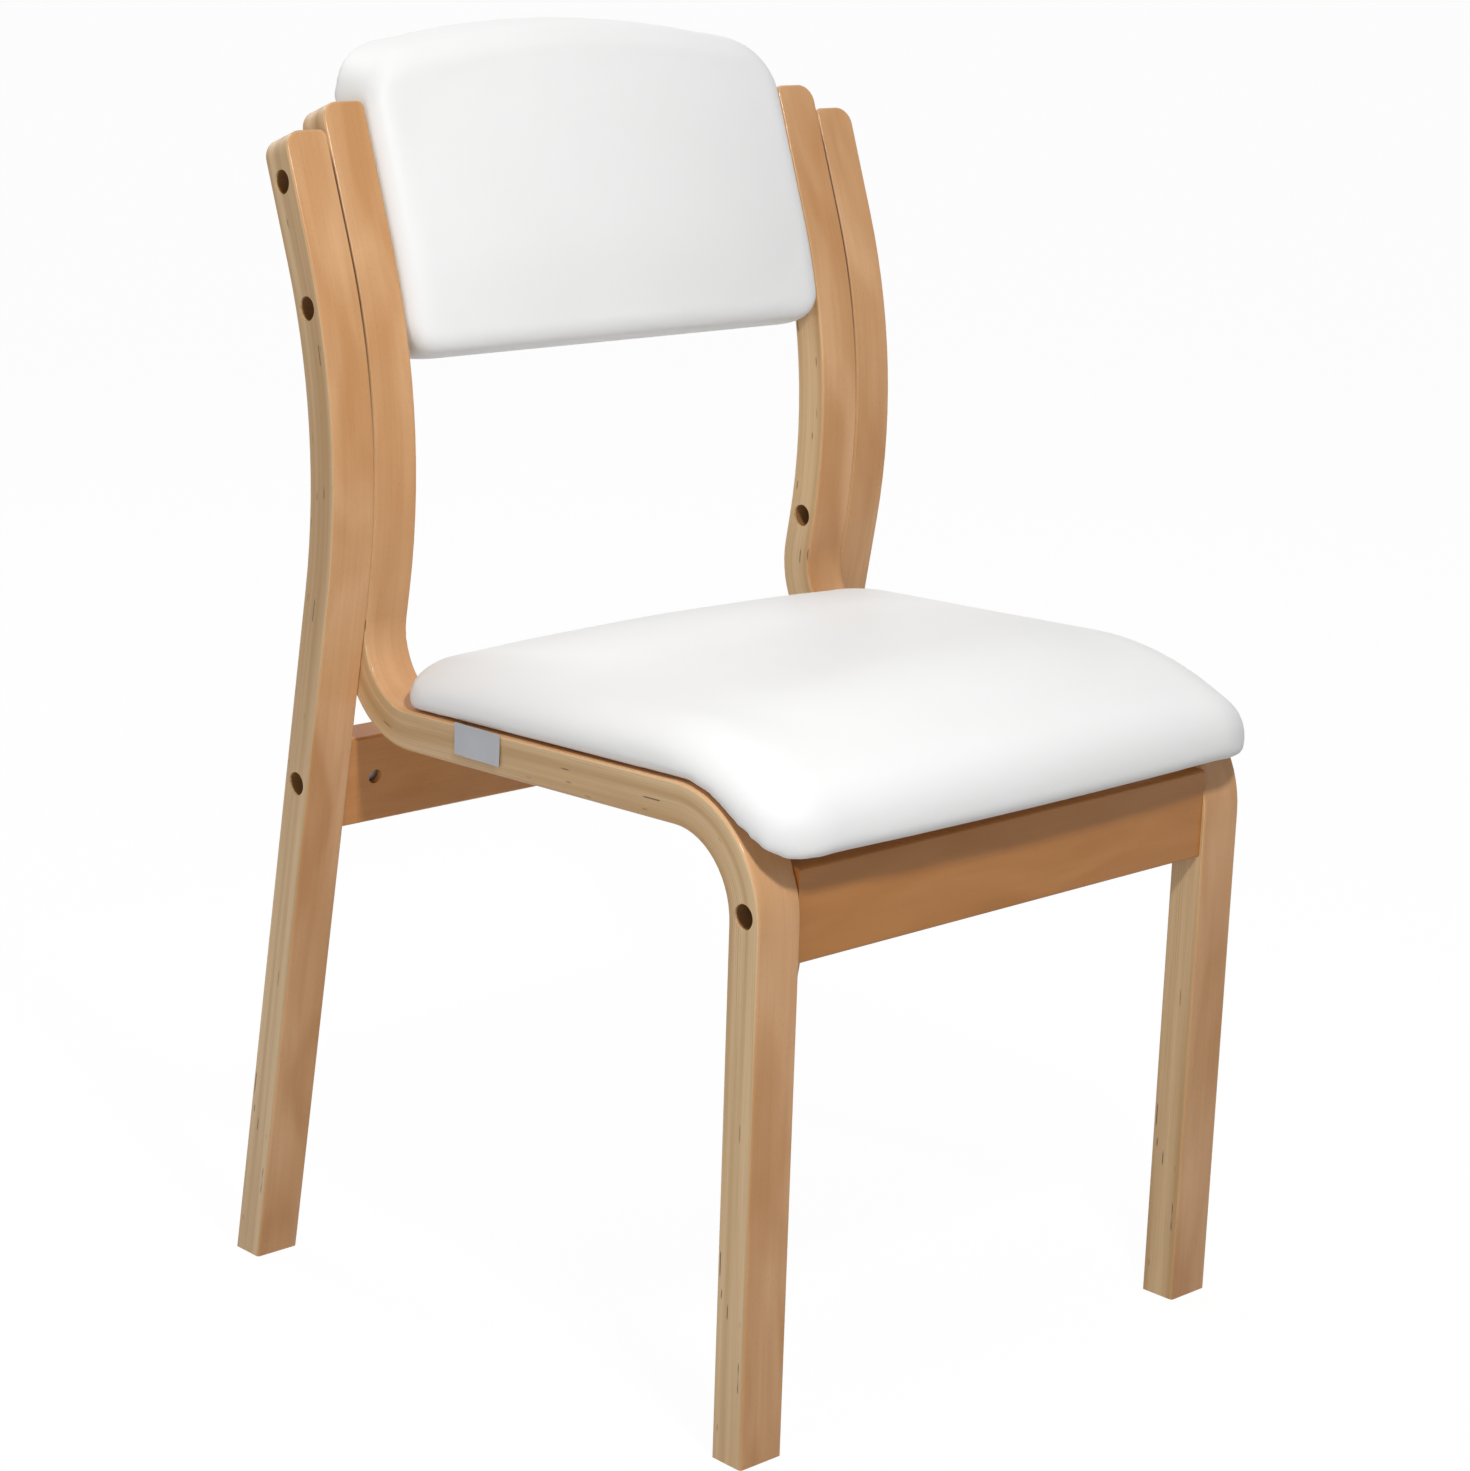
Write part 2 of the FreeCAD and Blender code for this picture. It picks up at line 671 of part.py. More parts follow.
def board_tilt(centre):
    """How far a post leans back at a point of its centre line."""
    if centre.y > (bend_end + back_of_lean * (thick / 2)).y:
        return lean
    return math.asin((centre.y - bend_middle.y) / (size("waist_bend") - thick / 2))


long_bolts, back_nuts = [], []
for centre, level in zip(back_bolts, ("low", "high")):
    for side, name in SIDES:
        floor = along_x(side * (half_width - size("counterbore_deep")), centre, -side)
        washers.append(washer(f"back_washer_{level}_{name}", floor))
        bolt_place = moved(floor, -size("washer_thick"))
        long_bolts.append(socket_bolt(f"back_bolt_{level}_{name}", bolt_place, BACK_BOLT))
        middle = Vector(side * (board_edge - size("nut_from_end")), centre.x, centre.y)
        nut_name = f"back_nut_{level}_{name}"
        nut = barrel_nut(nut_name, middle, -board_tilt(centre), "back_board_thick", bolt_place)
        back_nuts.append(nut)
group("back_bolts", long_bolts)
group("back_nuts", back_nuts)
group("bolt_washers", washers)


# Upholstery: soft solids are lofts through sections across X, each a ring of lines and arcs
def line(first, second):
    return Part.LineSegment(first, second).toShape()


def arc(first, second, bulge):
    """An arc that stands out to the left of its chord by bulge times the chord's length."""
    chord = second - first
    middle = (first + second) / 2 + Vector(0, -chord.z, chord.y) * bulge
    return Part.Arc(first, middle, second).toShape()


def loft(section, stations, *settings):
    return Part.makeLoft([Part.Wire(section(x, *settings)) for x in stations], True, False)


def across(flat, corner):
    """Stations across X: close together round the side edges, wide apart between them."""
    right = [flat * share for share in (0.5, 0.8, 0.95)]
    right += [flat + corner * math.sin(math.radians(turn)) for turn in (8, 25, 45, 67, 90)]
    return [-x for x in reversed(right)] + [0] + right


def round_off(x, flat, corner):
    """0 on the flat, rising to 1 at the side edge as a quarter circle falls away."""
    if abs(x) <= flat:
        return 0.0
    return 1 - math.sqrt(max(0.0, 1 - ((abs(x) - flat) / corner) ** 2))


def soft(label, shape, place=None):
    feature = doc.addObject("Part::Feature", label)
    feature.Shape = shape
    if place:
        feature.Placement = place
    return keep(feature, label)


# The seat's own frame: u along the rails and v up from their top faces
seat_frame = Placement(Vector(0, 0, rail_top(0)), Rotation(Vector(1, 0, 0), math.degrees(rail_slope)))
UP = Vector(0, 0, 1)
BACK = Vector(0, 1, 0)
drop = math.radians(size("seat_drop"))
seat_down = Vector(0, -math.cos(drop), -math.sin(drop))
seat_out = Vector(0, -math.sin(drop), math.cos(drop))
seat_half = frame_outer - size("seat_side_inset")
nose_u = (-half_depth - size("seat_nose_below") * math.sin(rail_slope)) / math.cos(rail_slope)


def seat_path(x, low, from_u, to_u):
    """Corners of a path below the seat: level, round the front bend, and down to the front."""
    bend = Vector(x, seat_bend_u, low)
    radius = size("knee_bend") + low
    after = bend + Vector(0, -radius * math.sin(drop), -radius * (1 - math.cos(drop)))
    front = after + seat_down * ((after.y - to_u) / math.cos(drop))
    return Vector(x, from_u, low), bend, after, front


def seat_bend(above, below):
    """The arc of the front bend, from the point above its start to the point below its end."""
    radius = size("knee_bend") + above.z
    centre = above - UP * radius
    halfway = centre + Vector(0, -math.sin(drop / 2), math.cos(drop / 2)) * radius
    return Part.Arc(above, halfway, below).toShape()


def curve(first, second, heading):
    """An arc between two points that runs along a heading at one of them."""
    return arc(first, second, math.tan(heading.getAngle(second - first) / 2) / 2)


def rounded(first, heading, second, final):
    """Two smooth arcs that leave one point along a heading and reach another along a final heading."""
    span = second - first
    along = span.dot(heading + final)
    turn = 2 * (1 - heading.dot(final))
    reach = (math.sqrt(along * along + turn * span.dot(span)) - along) / turn
    joint = (first + heading * reach + second - final * reach) / 2
    return [curve(first, joint, heading), curve(joint, second, final)]


# Shares of the seat's depth: the round below the nose, the front edge, the rounds at the back
LIP, FRONT_EDGE, TAIL_ROUND, TAIL_FALL = 0.26, 0.88, 0.34, 1.5
# The top's bend takes at most this share of the run down to the nose
MOST_BEND = 0.85


def seat_section(x, inset):
    corner = size("seat_side_round") - inset
    flat = seat_half - size("seat_side_round")
    gone = round_off(x, flat, corner)
    middle = max(0.0, 1 - (x / flat) ** 2)
    crown = (size("seat_thick") - size("seat_edge_thick")) * middle
    high = size("seat_edge_thick") + crown - inset - (size("seat_side_fall") - inset) * gone
    low = size("seat_play") + inset + size("seat_hem_rise") * gone
    bow = size("seat_bow") * (1 - middle)
    front = nose_u + inset + bow + (size("seat_front_corner") - inset) * gone
    back = seat_back - inset - (size("seat_back_corner") - inset) * gone
    deep = high - low
    lip = LIP * deep
    b0, b1, b2, b3 = seat_path(x, low, back - TAIL_ROUND * deep, front + lip)
    nose = b3 + seat_out * lip + seat_down * (lip * (1 - math.sin(drop)) / math.cos(drop))
    rise = (FRONT_EDGE * deep - lip) / math.cos(drop)
    peak = nose + UP * rise
    t3 = peak - seat_down * rise
    brow = peak - seat_down * ((high - peak.z) / math.sin(drop))
    top_bend = min(size("seat_top_bend"), MOST_BEND * brow.distanceToPoint(t3))
    t2 = brow + seat_down * top_bend
    t1 = brow + BACK * top_bend
    t0 = Vector(x, back - TAIL_FALL * deep, high)
    tail = Vector(x, back, low + TAIL_ROUND * deep)
    bottom = [line(b0, b1), seat_bend(b1, b2), line(b2, b3)]
    lip_edges = [curve(b3, nose, seat_down), curve(nose, t3, UP)]
    top = [line(t3, t2), curve(t2, t1, seat_down * -1), line(t1, t0)]
    return bottom + lip_edges + top + rounded(t0, BACK, tail, UP * -1) + [curve(tail, b0, UP * -1)]


def seat_stations(inset):
    return across(seat_half - size("seat_side_round"), size("seat_side_round") - inset)


def seat_slab(half, from_u, to_u, low, high):
    """A bent sheet that follows the seat's underside between two heights."""
    lower = seat_path(-half, low, from_u, to_u)
    upper = seat_path(-half, high, from_u, to_u)
    edges = [line(lower[0], lower[1]), seat_bend(lower[1], lower[2]), line(lower[2], lower[3])]
    edges += [line(lower[3], upper[3]), line(upper[3], upper[2]), seat_bend(upper[1], upper[2])]
    edges += [line(upper[1], upper[0]), line(upper[0], lower[0])]
    return Part.Face(Part.Wire(edges)).extrude(Vector(2 * half, 0, 0))


def pin(diameter, long, base, along):
    return Part.makeCylinder(diameter / 2, long, base, along)


cover = size("cover_thick")
board_low = size("seat_play") + cover + size("foam_play")
board_high = board_low + size("seat_board_thick")
foam_inset = cover + size("foam_play")
seat_outer = loft(seat_section, seat_stations(0), 0)
seat_inner = loft(seat_section, seat_stations(cover), cover)
seat_core = loft(seat_section, seat_stations(foam_inset), foam_inset)
screw_x = (frame_outer + frame_inner) / 2
seat_points = [Vector(side * screw_x, u, 0) for side, name in SIDES for u in seat_screw_u]

# Seat board: moulded plywood, bent down at the front, with a sunk tee nut above each screw
rim = size("seat_board_rim")
board_range = (seat_half - rim, seat_back - rim, nose_u + 2 * rim)
board_space = seat_slab(*board_range, board_low - rim, board_high)
seat_board = seat_core.common(board_space)
sink = size("tee_nut_sink")
for point in seat_points:
    seat_board = seat_board.cut(pin(size("tee_nut_barrel") + size("dowel_play"), board_high, point, UP))
    recess = point + UP * (board_high - sink)
    seat_board = seat_board.cut(pin(size("tee_nut_flange") + size("dowel_play"), 2 * sink, recess, UP))
soft("seat_board", seat_board, seat_frame)

# Seat foam: fills the cover above and around the board
foam_space = seat_slab(*board_range, board_low - rim, board_high + size("foam_play"))
soft("seat_foam", seat_core.cut(foam_space), seat_frame)

# Seat cover: vinyl pulled over the foam and tucked under the board on all sides
tuck = size("cover_tuck")
open_below = seat_slab(seat_half - tuck, seat_back - tuck, nose_u + tuck, -rim, board_low + rim)
seat_cover = seat_outer.cut(seat_inner).cut(open_below)
for point in seat_points:
    seat_cover = seat_cover.cut(pin(size("bolt_hole"), board_low + rim, point, UP))
soft("seat_cover", seat_cover, seat_frame)

# Dust cloth: closes the underside between the rails
cloth = doc.addObject("Part::Box", "seat_dust_cloth")
CLOTH_HALF = "(Sizes.overall_width / 2 - Sizes.leg_width - Sizes.frame_width - Sizes.cloth_gap)"
bind(cloth, "Length", f"2 * {CLOTH_HALF}")
cloth.Width = seat_back - seat_bend_u - 2 * size("cloth_gap")
bind(cloth, "Height", "Sizes.cloth_thick")
cloth_half = frame_inner - size("cloth_gap")
cloth_corner = Vector(-cloth_half, seat_bend_u + size("cloth_gap"), -size("cloth_thick"))
cloth.Placement = seat_frame * Placement(cloth_corner, Rotation())
keep(cloth, "seat_dust_cloth")

# Seat screws and tee nuts: up through the rails into the board
seat_screws, tee_nuts = [], []
SCREW_LONG = (
    "Sizes.plank_thick - Sizes.screw_sunk + Sizes.seat_play + Sizes.cover_thick + Sizes.seat_board_thick"
    " - Sizes.tee_nut_sink"
)
head_below = thick - size("screw_sunk") + 2 * size("rail_play")
for number, point in enumerate(seat_points, start=1):
    nut = f"tee_nut_{number}"
    under = seat_frame * Placement(point - UP * head_below, Rotation())
    seat_screws.append(socket_bolt(f"seat_screw_{number}", under, SCREW_LONG))
    top = seat_frame * Placement(point + UP * (board_high - size("thread_play")), Rotation())
    flange_place = moved(top, -size("tee_nut_plate"))
    barrel_place = moved(top, -size("tee_nut_long"))
    flange = cylinder(nut + "_flange", "Sizes.tee_nut_flange", "Sizes.tee_nut_plate", flange_place)
    barrel = cylinder(nut + "_barrel", "Sizes.tee_nut_barrel", "Sizes.tee_nut_long", barrel_place)
    thread = cylinder(nut + "_thread", THREAD, "Sizes.tee_nut_long", barrel_place)
    tee_nuts.append(cut_away(nut, joined(nut + "_blank", flange, barrel), thread))
group("seat_screws", seat_screws)
group("seat_tee_nuts", tee_nuts)


# The back pad follows the posts: a level is measured up their front face from the end of the waist bend
waist_bend = size("waist_bend")


def on_back(x, level, depth):
    """A point of the back at a level, a depth behind the posts' front face."""
    if level >= 0:
        spot = bend_end + up_lean * level + back_of_lean * depth
    else:
        tilt = lean + level / waist_bend
        spot = bend_middle + Vector(-math.cos(tilt), math.sin(tilt), 0) * (waist_bend - depth)
    return Vector(x, spot.x, spot.y)


def lean_axes(level):
    """The directions up and backward at a level of the back."""
    tilt = lean + min(0.0, level) / waist_bend
    return Vector(0, math.sin(tilt), math.cos(tilt)), Vector(0, math.cos(tilt), -math.sin(tilt))


def bent(x, low, high, depth):
    """The back's bend between two levels, at a depth."""
    ends = [on_back(x, level, depth) for level in (low, high)]
    return Part.Arc(ends[0], on_back(x, (low + high) / 2, depth), ends[1]).toShape()


def straight(x, low, high, depth):
    return line(on_back(x, low, depth), on_back(x, high, depth))


mid_depth = (size("back_deep") - size("back_proud")) / 2
base_height = waist_height + size("back_bottom")
base_tilt = math.asin((base_height - bend_middle.y) / (waist_bend - mid_depth))
back_base = (base_tilt - lean) * waist_bend
# The crest is near the back pad's rear, at this share of its depth
CREST_BACK = 0.85
crest_depth = CREST_BACK * (size("back_deep") + size("back_proud")) - size("back_proud")
crest_height = waist_height + size("back_top")
back_crest = (crest_height - bend_end.y + crest_depth * math.sin(lean)) / math.cos(lean)


def back_levels(x, inset):
    """The lowest and highest level of the back pad's outline at x."""
    top_corner = size("back_top_corner")
    top_flat = back_half - top_corner
    fall = size("back_crown") * min(1.0, (x / top_flat) ** 2)
    fall += (top_corner - inset) * round_off(x, top_flat, top_corner - inset)
    bottom_corner = size("back_bottom_corner")
    rise = (bottom_corner - inset) * round_off(x, back_half - bottom_corner, bottom_corner - inset)
    return back_base + inset + rise, back_crest - inset - fall


# Shares of the back's depth over which its front and rear round off, at the bottom and at the top
FRONT_BASE, FRONT_CREST, REAR_BASE, REAR_CREST = 0.31, 0.7, 0.2, 0.12


def back_section(x, inset):
    flat = back_half - size("back_bottom_corner")
    gone = round_off(x, flat, size("back_bottom_corner") - inset)
    swell = (size("back_proud") - size("back_edge_proud")) * max(0.0, 1 - (x / flat) ** 2)
    front = inset - size("back_edge_proud") - swell + size("back_side_fall") * gone
    rear = size("back_deep") - inset - size("back_rear_fall") * gone
    low, high = back_levels(x, inset)
    deep = rear - front
    middle = (front + rear) / 2
    f0, f2 = low + FRONT_BASE * deep, high - FRONT_CREST * deep
    r0, r2 = low + REAR_BASE * deep, high - REAR_CREST * deep
    crest = on_back(x, high, front + CREST_BACK * deep)
    base = on_back(x, low, middle)
    lift = lean_axes(high)[0]
    foot_rearward = lean_axes(low)[1]
    rising = [bent(x, f0, 0, front), straight(x, 0, f2, front)]
    over = rounded(on_back(x, f2, front), lift, crest, BACK)
    over += rounded(crest, BACK, on_back(x, r2, rear), lift * -1)
    falling = [straight(x, r2, 0, rear), bent(x, r0, 0, rear)]
    under = rounded(on_back(x, r0, rear), lean_axes(r0)[0] * -1, base, foot_rearward * -1)
    under += rounded(base, foot_rearward * -1, on_back(x, f0, front), lean_axes(f0)[0])
    return rising + over + falling + under


def back_sheet_section(x, margin, drop, front, rear):
    """A bent sheet that keeps a margin from the back pad's outline, with its top lower by a drop."""
    low, high = back_levels(x, margin)
    high -= drop
    rising = [bent(x, low, 0, front), straight(x, 0, high, front)]
    falling = [straight(x, high, 0, rear), bent(x, low, 0, rear)]
    top = line(on_back(x, high, front), on_back(x, high, rear))
    foot = line(on_back(x, low, rear), on_back(x, low, front))
    return rising + [top] + falling + [foot]


def back_stations(inset):
    corner = size("back_top_corner")
    return across(back_half - corner, corner - inset)


back_outer = loft(back_section, back_stations(0), 0)
back_inner = loft(back_section, back_stations(cover), cover)
back_core = loft(back_section, back_stations(foam_inset), foam_inset)
bolt_bores = []
for centre in back_bolts:
    for side, name in SIDES:
        start = Vector(side * frame_inner, centre.x, centre.y)
        past_edge = size("nut_from_end") + size("bolt_past_nut") + size("hole_spare")
        bore = pin(size("bolt_hole"), frame_inner - board_edge + past_edge, start, Vector(-side, 0, 0))
        bolt_bores.append(bore)

# Back board: moulded plywood along the posts' centre line, bored for the bolts and barrel nuts
front_face = (thick - size("back_board_thick")) / 2
rear_face = front_face + size("back_board_thick")
board_inset = size("back_board_inset")
board_drop = size("back_board_drop")
board_sheet = (board_inset, board_drop, front_face, rear_face)
back_board = loft(back_sheet_section, back_stations(board_inset), *board_sheet)
for bore in bolt_bores:
    back_board = back_board.cut(bore)
for centre in back_bolts:
    for side, name in SIDES:
        tilt = board_tilt(centre)
        inward = Vector(0, math.cos(tilt), -math.sin(tilt))
        middle = Vector(side * (board_edge - size("nut_from_end")), centre.x, centre.y)
        start = middle - inward * ((size("back_board_thick") - size("nut_short")) / 2 + size("nut_play"))
        back_board = back_board.cut(pin(size("nut_size") + size("nut_play"), thick, start, inward))
soft("back_board", back_board)

# Back foam: moulded round the board, thicker in front
play = size("foam_play")
space_inset = board_inset - play
foam_space = (space_inset, board_drop, front_face - play, rear_face + play)
back_foam = back_core.cut(loft(back_sheet_section, back_stations(space_inset), *foam_space))
for bore in bolt_bores:
    back_foam = back_foam.cut(bore)
soft("back_foam", back_foam)

# Back cover: vinyl over the front and the sides, open behind where the closing panel sits
panel_front = size("back_deep") - cover
panel_margin = size("back_panel_margin")
gap = size("panel_gap")
open_margin = panel_margin - gap
open_sheet = (open_margin, 0, panel_front - cover, panel_front + thick)
open_behind = loft(back_sheet_section, back_stations(open_margin), *open_sheet)
back_cover = back_outer.cut(back_inner).cut(open_behind)
for bore in bolt_bores:
    back_cover = back_cover.cut(bore)
soft("back_cover", back_cover)

# Back panel: a thin covered board that closes the rear of the pad
panel_rear = panel_front + gap + size("back_panel_thick")
panel_sheet = (panel_margin, 0, panel_front + gap, panel_rear)
soft("back_panel", loft(back_sheet_section, back_stations(panel_margin), *panel_sheet))

# Side tag: a bare strip of woven tape that hangs over the left rail from the seat cover
tag = doc.addObject("Part::Box", "side_tag")
bind(tag, "Length", "Sizes.tag_thick")
bind(tag, "Width", "Sizes.tag_long")
bind(tag, "Height", "Sizes.tag_high")
tag_x = -frame_outer - size("panel_gap") - size("tag_thick")
tag_u = size("tag_from_middle") - size("tag_long") / 2
tag_corner = Vector(tag_x, tag_u, size("seat_hem_rise") - size("tag_high"))
tag.Placement = seat_frame * Placement(tag_corner, Rotation())
keep(tag, "side_tag")
doc.recompute()

for obj in doc.Objects:
    if {"Invalid", "Error"} & set(obj.State):
        raise ValueError(f"{obj.Name} failed: {obj.State}")
for obj in nodes:
    if obj.Shape.isNull() or not obj.Shape.isValid():
        raise ValueError(f"{obj.Label} has no valid shape")

os.makedirs("parts", exist_ok=True)
for obj in nodes:
    obj.Shape.exportStep(f"parts/{obj.Label}.step")
    print(obj.Label, len(obj.Shape.Solids), "solids", round(obj.Shape.Volume / 1000, 2), "cm3")
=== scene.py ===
"""A waiting room chair: bent beech planks, two cross rails, and a seat and back in white vinyl."""

import math

import bmesh
import bpy
import numpy as np
from mathutils import Matrix, Vector
from mathutils.bvhtree import BVHTree


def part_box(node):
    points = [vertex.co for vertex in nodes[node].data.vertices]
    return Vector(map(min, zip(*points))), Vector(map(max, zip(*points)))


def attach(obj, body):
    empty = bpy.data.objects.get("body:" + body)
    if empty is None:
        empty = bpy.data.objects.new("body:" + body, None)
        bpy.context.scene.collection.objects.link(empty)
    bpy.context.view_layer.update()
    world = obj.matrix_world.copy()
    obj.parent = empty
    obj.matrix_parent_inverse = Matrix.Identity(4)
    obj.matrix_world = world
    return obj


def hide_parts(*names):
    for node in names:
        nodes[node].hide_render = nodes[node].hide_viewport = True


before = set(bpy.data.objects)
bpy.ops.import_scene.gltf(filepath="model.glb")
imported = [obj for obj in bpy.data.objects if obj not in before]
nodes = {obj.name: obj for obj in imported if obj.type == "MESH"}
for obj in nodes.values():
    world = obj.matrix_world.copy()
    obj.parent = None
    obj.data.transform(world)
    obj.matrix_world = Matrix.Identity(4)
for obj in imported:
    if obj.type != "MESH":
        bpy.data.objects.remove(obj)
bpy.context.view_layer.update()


# Rear legs and side frames
# Each side is two bent planks screwed together side by side. The outer one is a back leg that runs on up beside
# the back; the inner one goes from the front foot over the knee, along under the seat and up again.
# Beech veneers are glued in a curved press, sawn into planks, sanded round at the edges and lacquered.
def colour(code):
    """An sRGB hex colour as linear red, green, blue and alpha."""
    parts = [int(code[i : i + 2], 16) / 255 for i in (0, 2, 4)]
    return [p / 12.92 if p <= 0.04045 else ((p + 0.055) / 1.055) ** 2.4 for p in parts] + [1.0]


def add(tree, kind, inputs=None, **settings):
    """A new shader node with its settings, its inputs set or linked by name or number."""
    node = tree.nodes.new("ShaderNode" + kind)
    for name, value in settings.items():
        setattr(node, name, value)
    for key, value in (inputs or {}).items():
        if isinstance(value, bpy.types.NodeSocket):
            tree.links.new(value, node.inputs[key])
        else:
            node.inputs[key].default_value = value
    return node


def blank_material(name):
    """A new material and its node tree, with no nodes in it yet."""
    material = bpy.data.materials.new(name)
    material.use_nodes = True
    material.node_tree.nodes.clear()
    return material, material.node_tree


def along_plank(tree, place, corners, radii):
    """The place on a bent plank in metres, along its front face, across and below it, and the face's length."""
    across = add(tree, "SeparateXYZ", {0: place}).outputs["X"]
    side = add(tree, "VectorMath", {0: place, 1: (0, 1, 1)}, operation="MULTIPLY").outputs[0]
    corners = [Vector((0, y, z)) for y, z in corners]
    headings = [(b - a).normalized() for a, b in zip(corners, corners[1:])]
    start, passed, reached = corners[0], 0.0, None
    for i, heading in enumerate(headings):
        behind = Vector((0, heading.z, -heading.y))
        ahead = add(tree, "VectorMath", {0: side, 1: heading}, operation="DOT_PRODUCT").outputs["Value"]
        below = add(tree, "VectorMath", {0: side, 1: behind}, operation="DOT_PRODUCT").outputs["Value"]
        ahead = add(tree, "Math", {0: ahead, 1: passed - start.dot(heading)}).outputs[0]
        below = add(tree, "Math", {0: below, 1: -start.dot(behind)}).outputs[0]
        run = add(tree, "CombineXYZ", {0: ahead, 1: across, 2: below}).outputs[0]
        if reached:
            past = add(tree, "VectorMath", {0: arm, 1: heading}, operation="DOT_PRODUCT").outputs["Value"]
            past = add(tree, "Math", {0: past, 1: 0.0}, operation="GREATER_THAN").outputs[0]
            reached = add(tree, "Math", {0: reached, 1: past}, operation="MULTIPLY").outputs[0]
            spot = add(tree, "Mix", {0: reached, 4: spot, 5: run}, data_type="VECTOR").outputs[1]
        else:
            spot = run
        if i == len(radii):
            return spot, passed + (corners[-1] - start).length
        radius, turn = radii[i], heading.angle(headings[i + 1])
        facing = 1 if headings[i + 1].dot(behind) > 0 else -1
        tangent = radius * math.tan(turn / 2)
        entry = corners[i + 1] - heading * tangent
        passed += (entry - start).length
        arm = add(tree, "VectorMath", {0: side, 1: entry + behind * facing * radius}, operation="SUBTRACT").outputs[0]
        sine = add(tree, "VectorMath", {0: arm, 1: heading}, operation="DOT_PRODUCT").outputs["Value"]
        cosine = add(tree, "VectorMath", {0: arm, 1: behind * -facing}, operation="DOT_PRODUCT").outputs["Value"]
        angle = add(tree, "Math", {0: sine, 1: cosine}, operation="ARCTAN2").outputs[0]
        ahead = add(tree, "Math", {0: angle, 1: radius, 2: passed}, operation="MULTIPLY_ADD").outputs[0]
        reach = add(tree, "VectorMath", {0: arm}, operation="LENGTH").outputs["Value"]
        below = add(tree, "Math", {0: reach, 1: -facing, 2: facing * radius}, operation="MULTIPLY_ADD").outputs[0]
        bend = add(tree, "CombineXYZ", {0: ahead, 1: across, 2: below}).outputs[0]
        inside = add(tree, "Math", {0: sine, 1: 0.0}, operation="GREATER_THAN").outputs[0]
        if reached:
            inside = add(tree, "Math", {0: reached, 1: inside}, operation="MULTIPLY").outputs[0]
        reached = inside
        spot = add(tree, "Mix", {0: reached, 4: spot, 5: bend}, data_type="VECTOR").outputs[1]
        start, passed = corners[i + 1] + headings[i + 1] * tangent, passed + radius * turn


def beech_figure(tree, spot, dark="C9925D", light="E0AF7F"):
    """The colour and the grain height of a lacquered beech face, with spot's first axis along the grain."""
    # Soft clouds about 120 mm long and 35 mm wide, faint growth lines 3 mm apart, and the short flecks of
    # beech, 3 mm long and drawn 0.7 mm wide, twice their real width, so that they show.
    cloud = add(tree, "VectorMath", {0: spot, 1: (8, 30, 30)}, operation="MULTIPLY").outputs[0]
    cloud = add(tree, "TexNoise", {"Vector": cloud, "Scale": 1.0, "Detail": 1.5, "Distortion": 0.8}).outputs[0]
    lines = add(tree, "VectorMath", {0: spot, 1: (7, 330, 330)}, operation="MULTIPLY").outputs[0]
    lines = add(tree, "TexNoise", {"Vector": lines, "Scale": 1.0, "Detail": 3.0, "Distortion": 0.5}).outputs[0]
    flecks = add(tree, "VectorMath", {0: spot, 1: (320, 1400, 1400)}, operation="MULTIPLY").outputs[0]
    flecks = add(tree, "TexNoise", {"Vector": flecks, "Scale": 1.0, "Detail": 1.0}).outputs[0]
    flecks = add(tree, "MapRange", {0: flecks, 1: 0.60, 2: 0.74, 3: 0.0, 4: 1.0}).outputs[0]
    pale = add(tree, "MapRange", {0: cloud, 1: 0.30, 2: 0.70, 3: 0.0, 4: 1.0}).outputs[0]
    tone = add(tree, "Mix", {0: pale, 6: colour(dark), 7: colour(light)}, data_type="RGBA").outputs[2]
    growth = add(tree, "MapRange", {0: lines, 1: 0.42, 2: 0.75, 3: 0.0, 4: 0.13}).outputs[0]
    tone = add(tree, "Mix", {0: growth, 6: tone, 7: colour("A96E39")}, data_type="RGBA").outputs[2]
    speck = add(tree, "Math", {0: flecks, 1: 0.14}, operation="MULTIPLY").outputs[0]
    tone = add(tree, "Mix", {0: speck, 6: tone, 7: colour("8C5A30")}, data_type="RGBA").outputs[2]
    height = add(tree, "Math", {0: lines, 1: flecks}, operation="SUBTRACT").outputs[0]
    return tone, height


def lacquered(tree, place, tone, height):
    """Satin lacquer over wood: a thin clear coat that rounds off the grain and gives broad, soft highlights."""
    smudge = add(tree, "TexNoise", {"Vector": place, "Scale": 30.0, "Detail": 2.0}).outputs[0]
    rough = add(tree, "MapRange", {0: smudge, 1: 0.3, 2: 0.7, 3: 0.36, 4: 0.44}).outputs[0]
    bump = add(tree, "Bump", {"Strength": 0.12, "Distance": 0.00015, "Height": height}).outputs[0]
    skin = add(
        tree,
        "BsdfPrincipled",
        {
            "Base Color": tone,
            "Roughness": rough,
            "IOR": 1.5,
            "Specular IOR Level": 0.25,
            "Normal": bump,
            "Coat Weight": 0.25,
            "Coat Roughness": 0.12,
        },
    )
    add(tree, "OutputMaterial", {"Surface": skin.outputs[0]})


# The sides of the planks, measured from the middle of the chair, and the bends of their front faces
inner_side, joint_side, outer_side = 0.183, 0.217, 0.250
knee_radius, hip_radius, waist_radius = 0.0755, 0.043, 0.435
leg_corners = [(0.242397, 0), (0.114013, 0.604), (0.176220, 0.791)]
frame_corners = [(-0.233, 0), (-0.247869, 0.4258), (0.153633, 0.4176), (0.114013, 0.604), (0.181875, 0.808)]


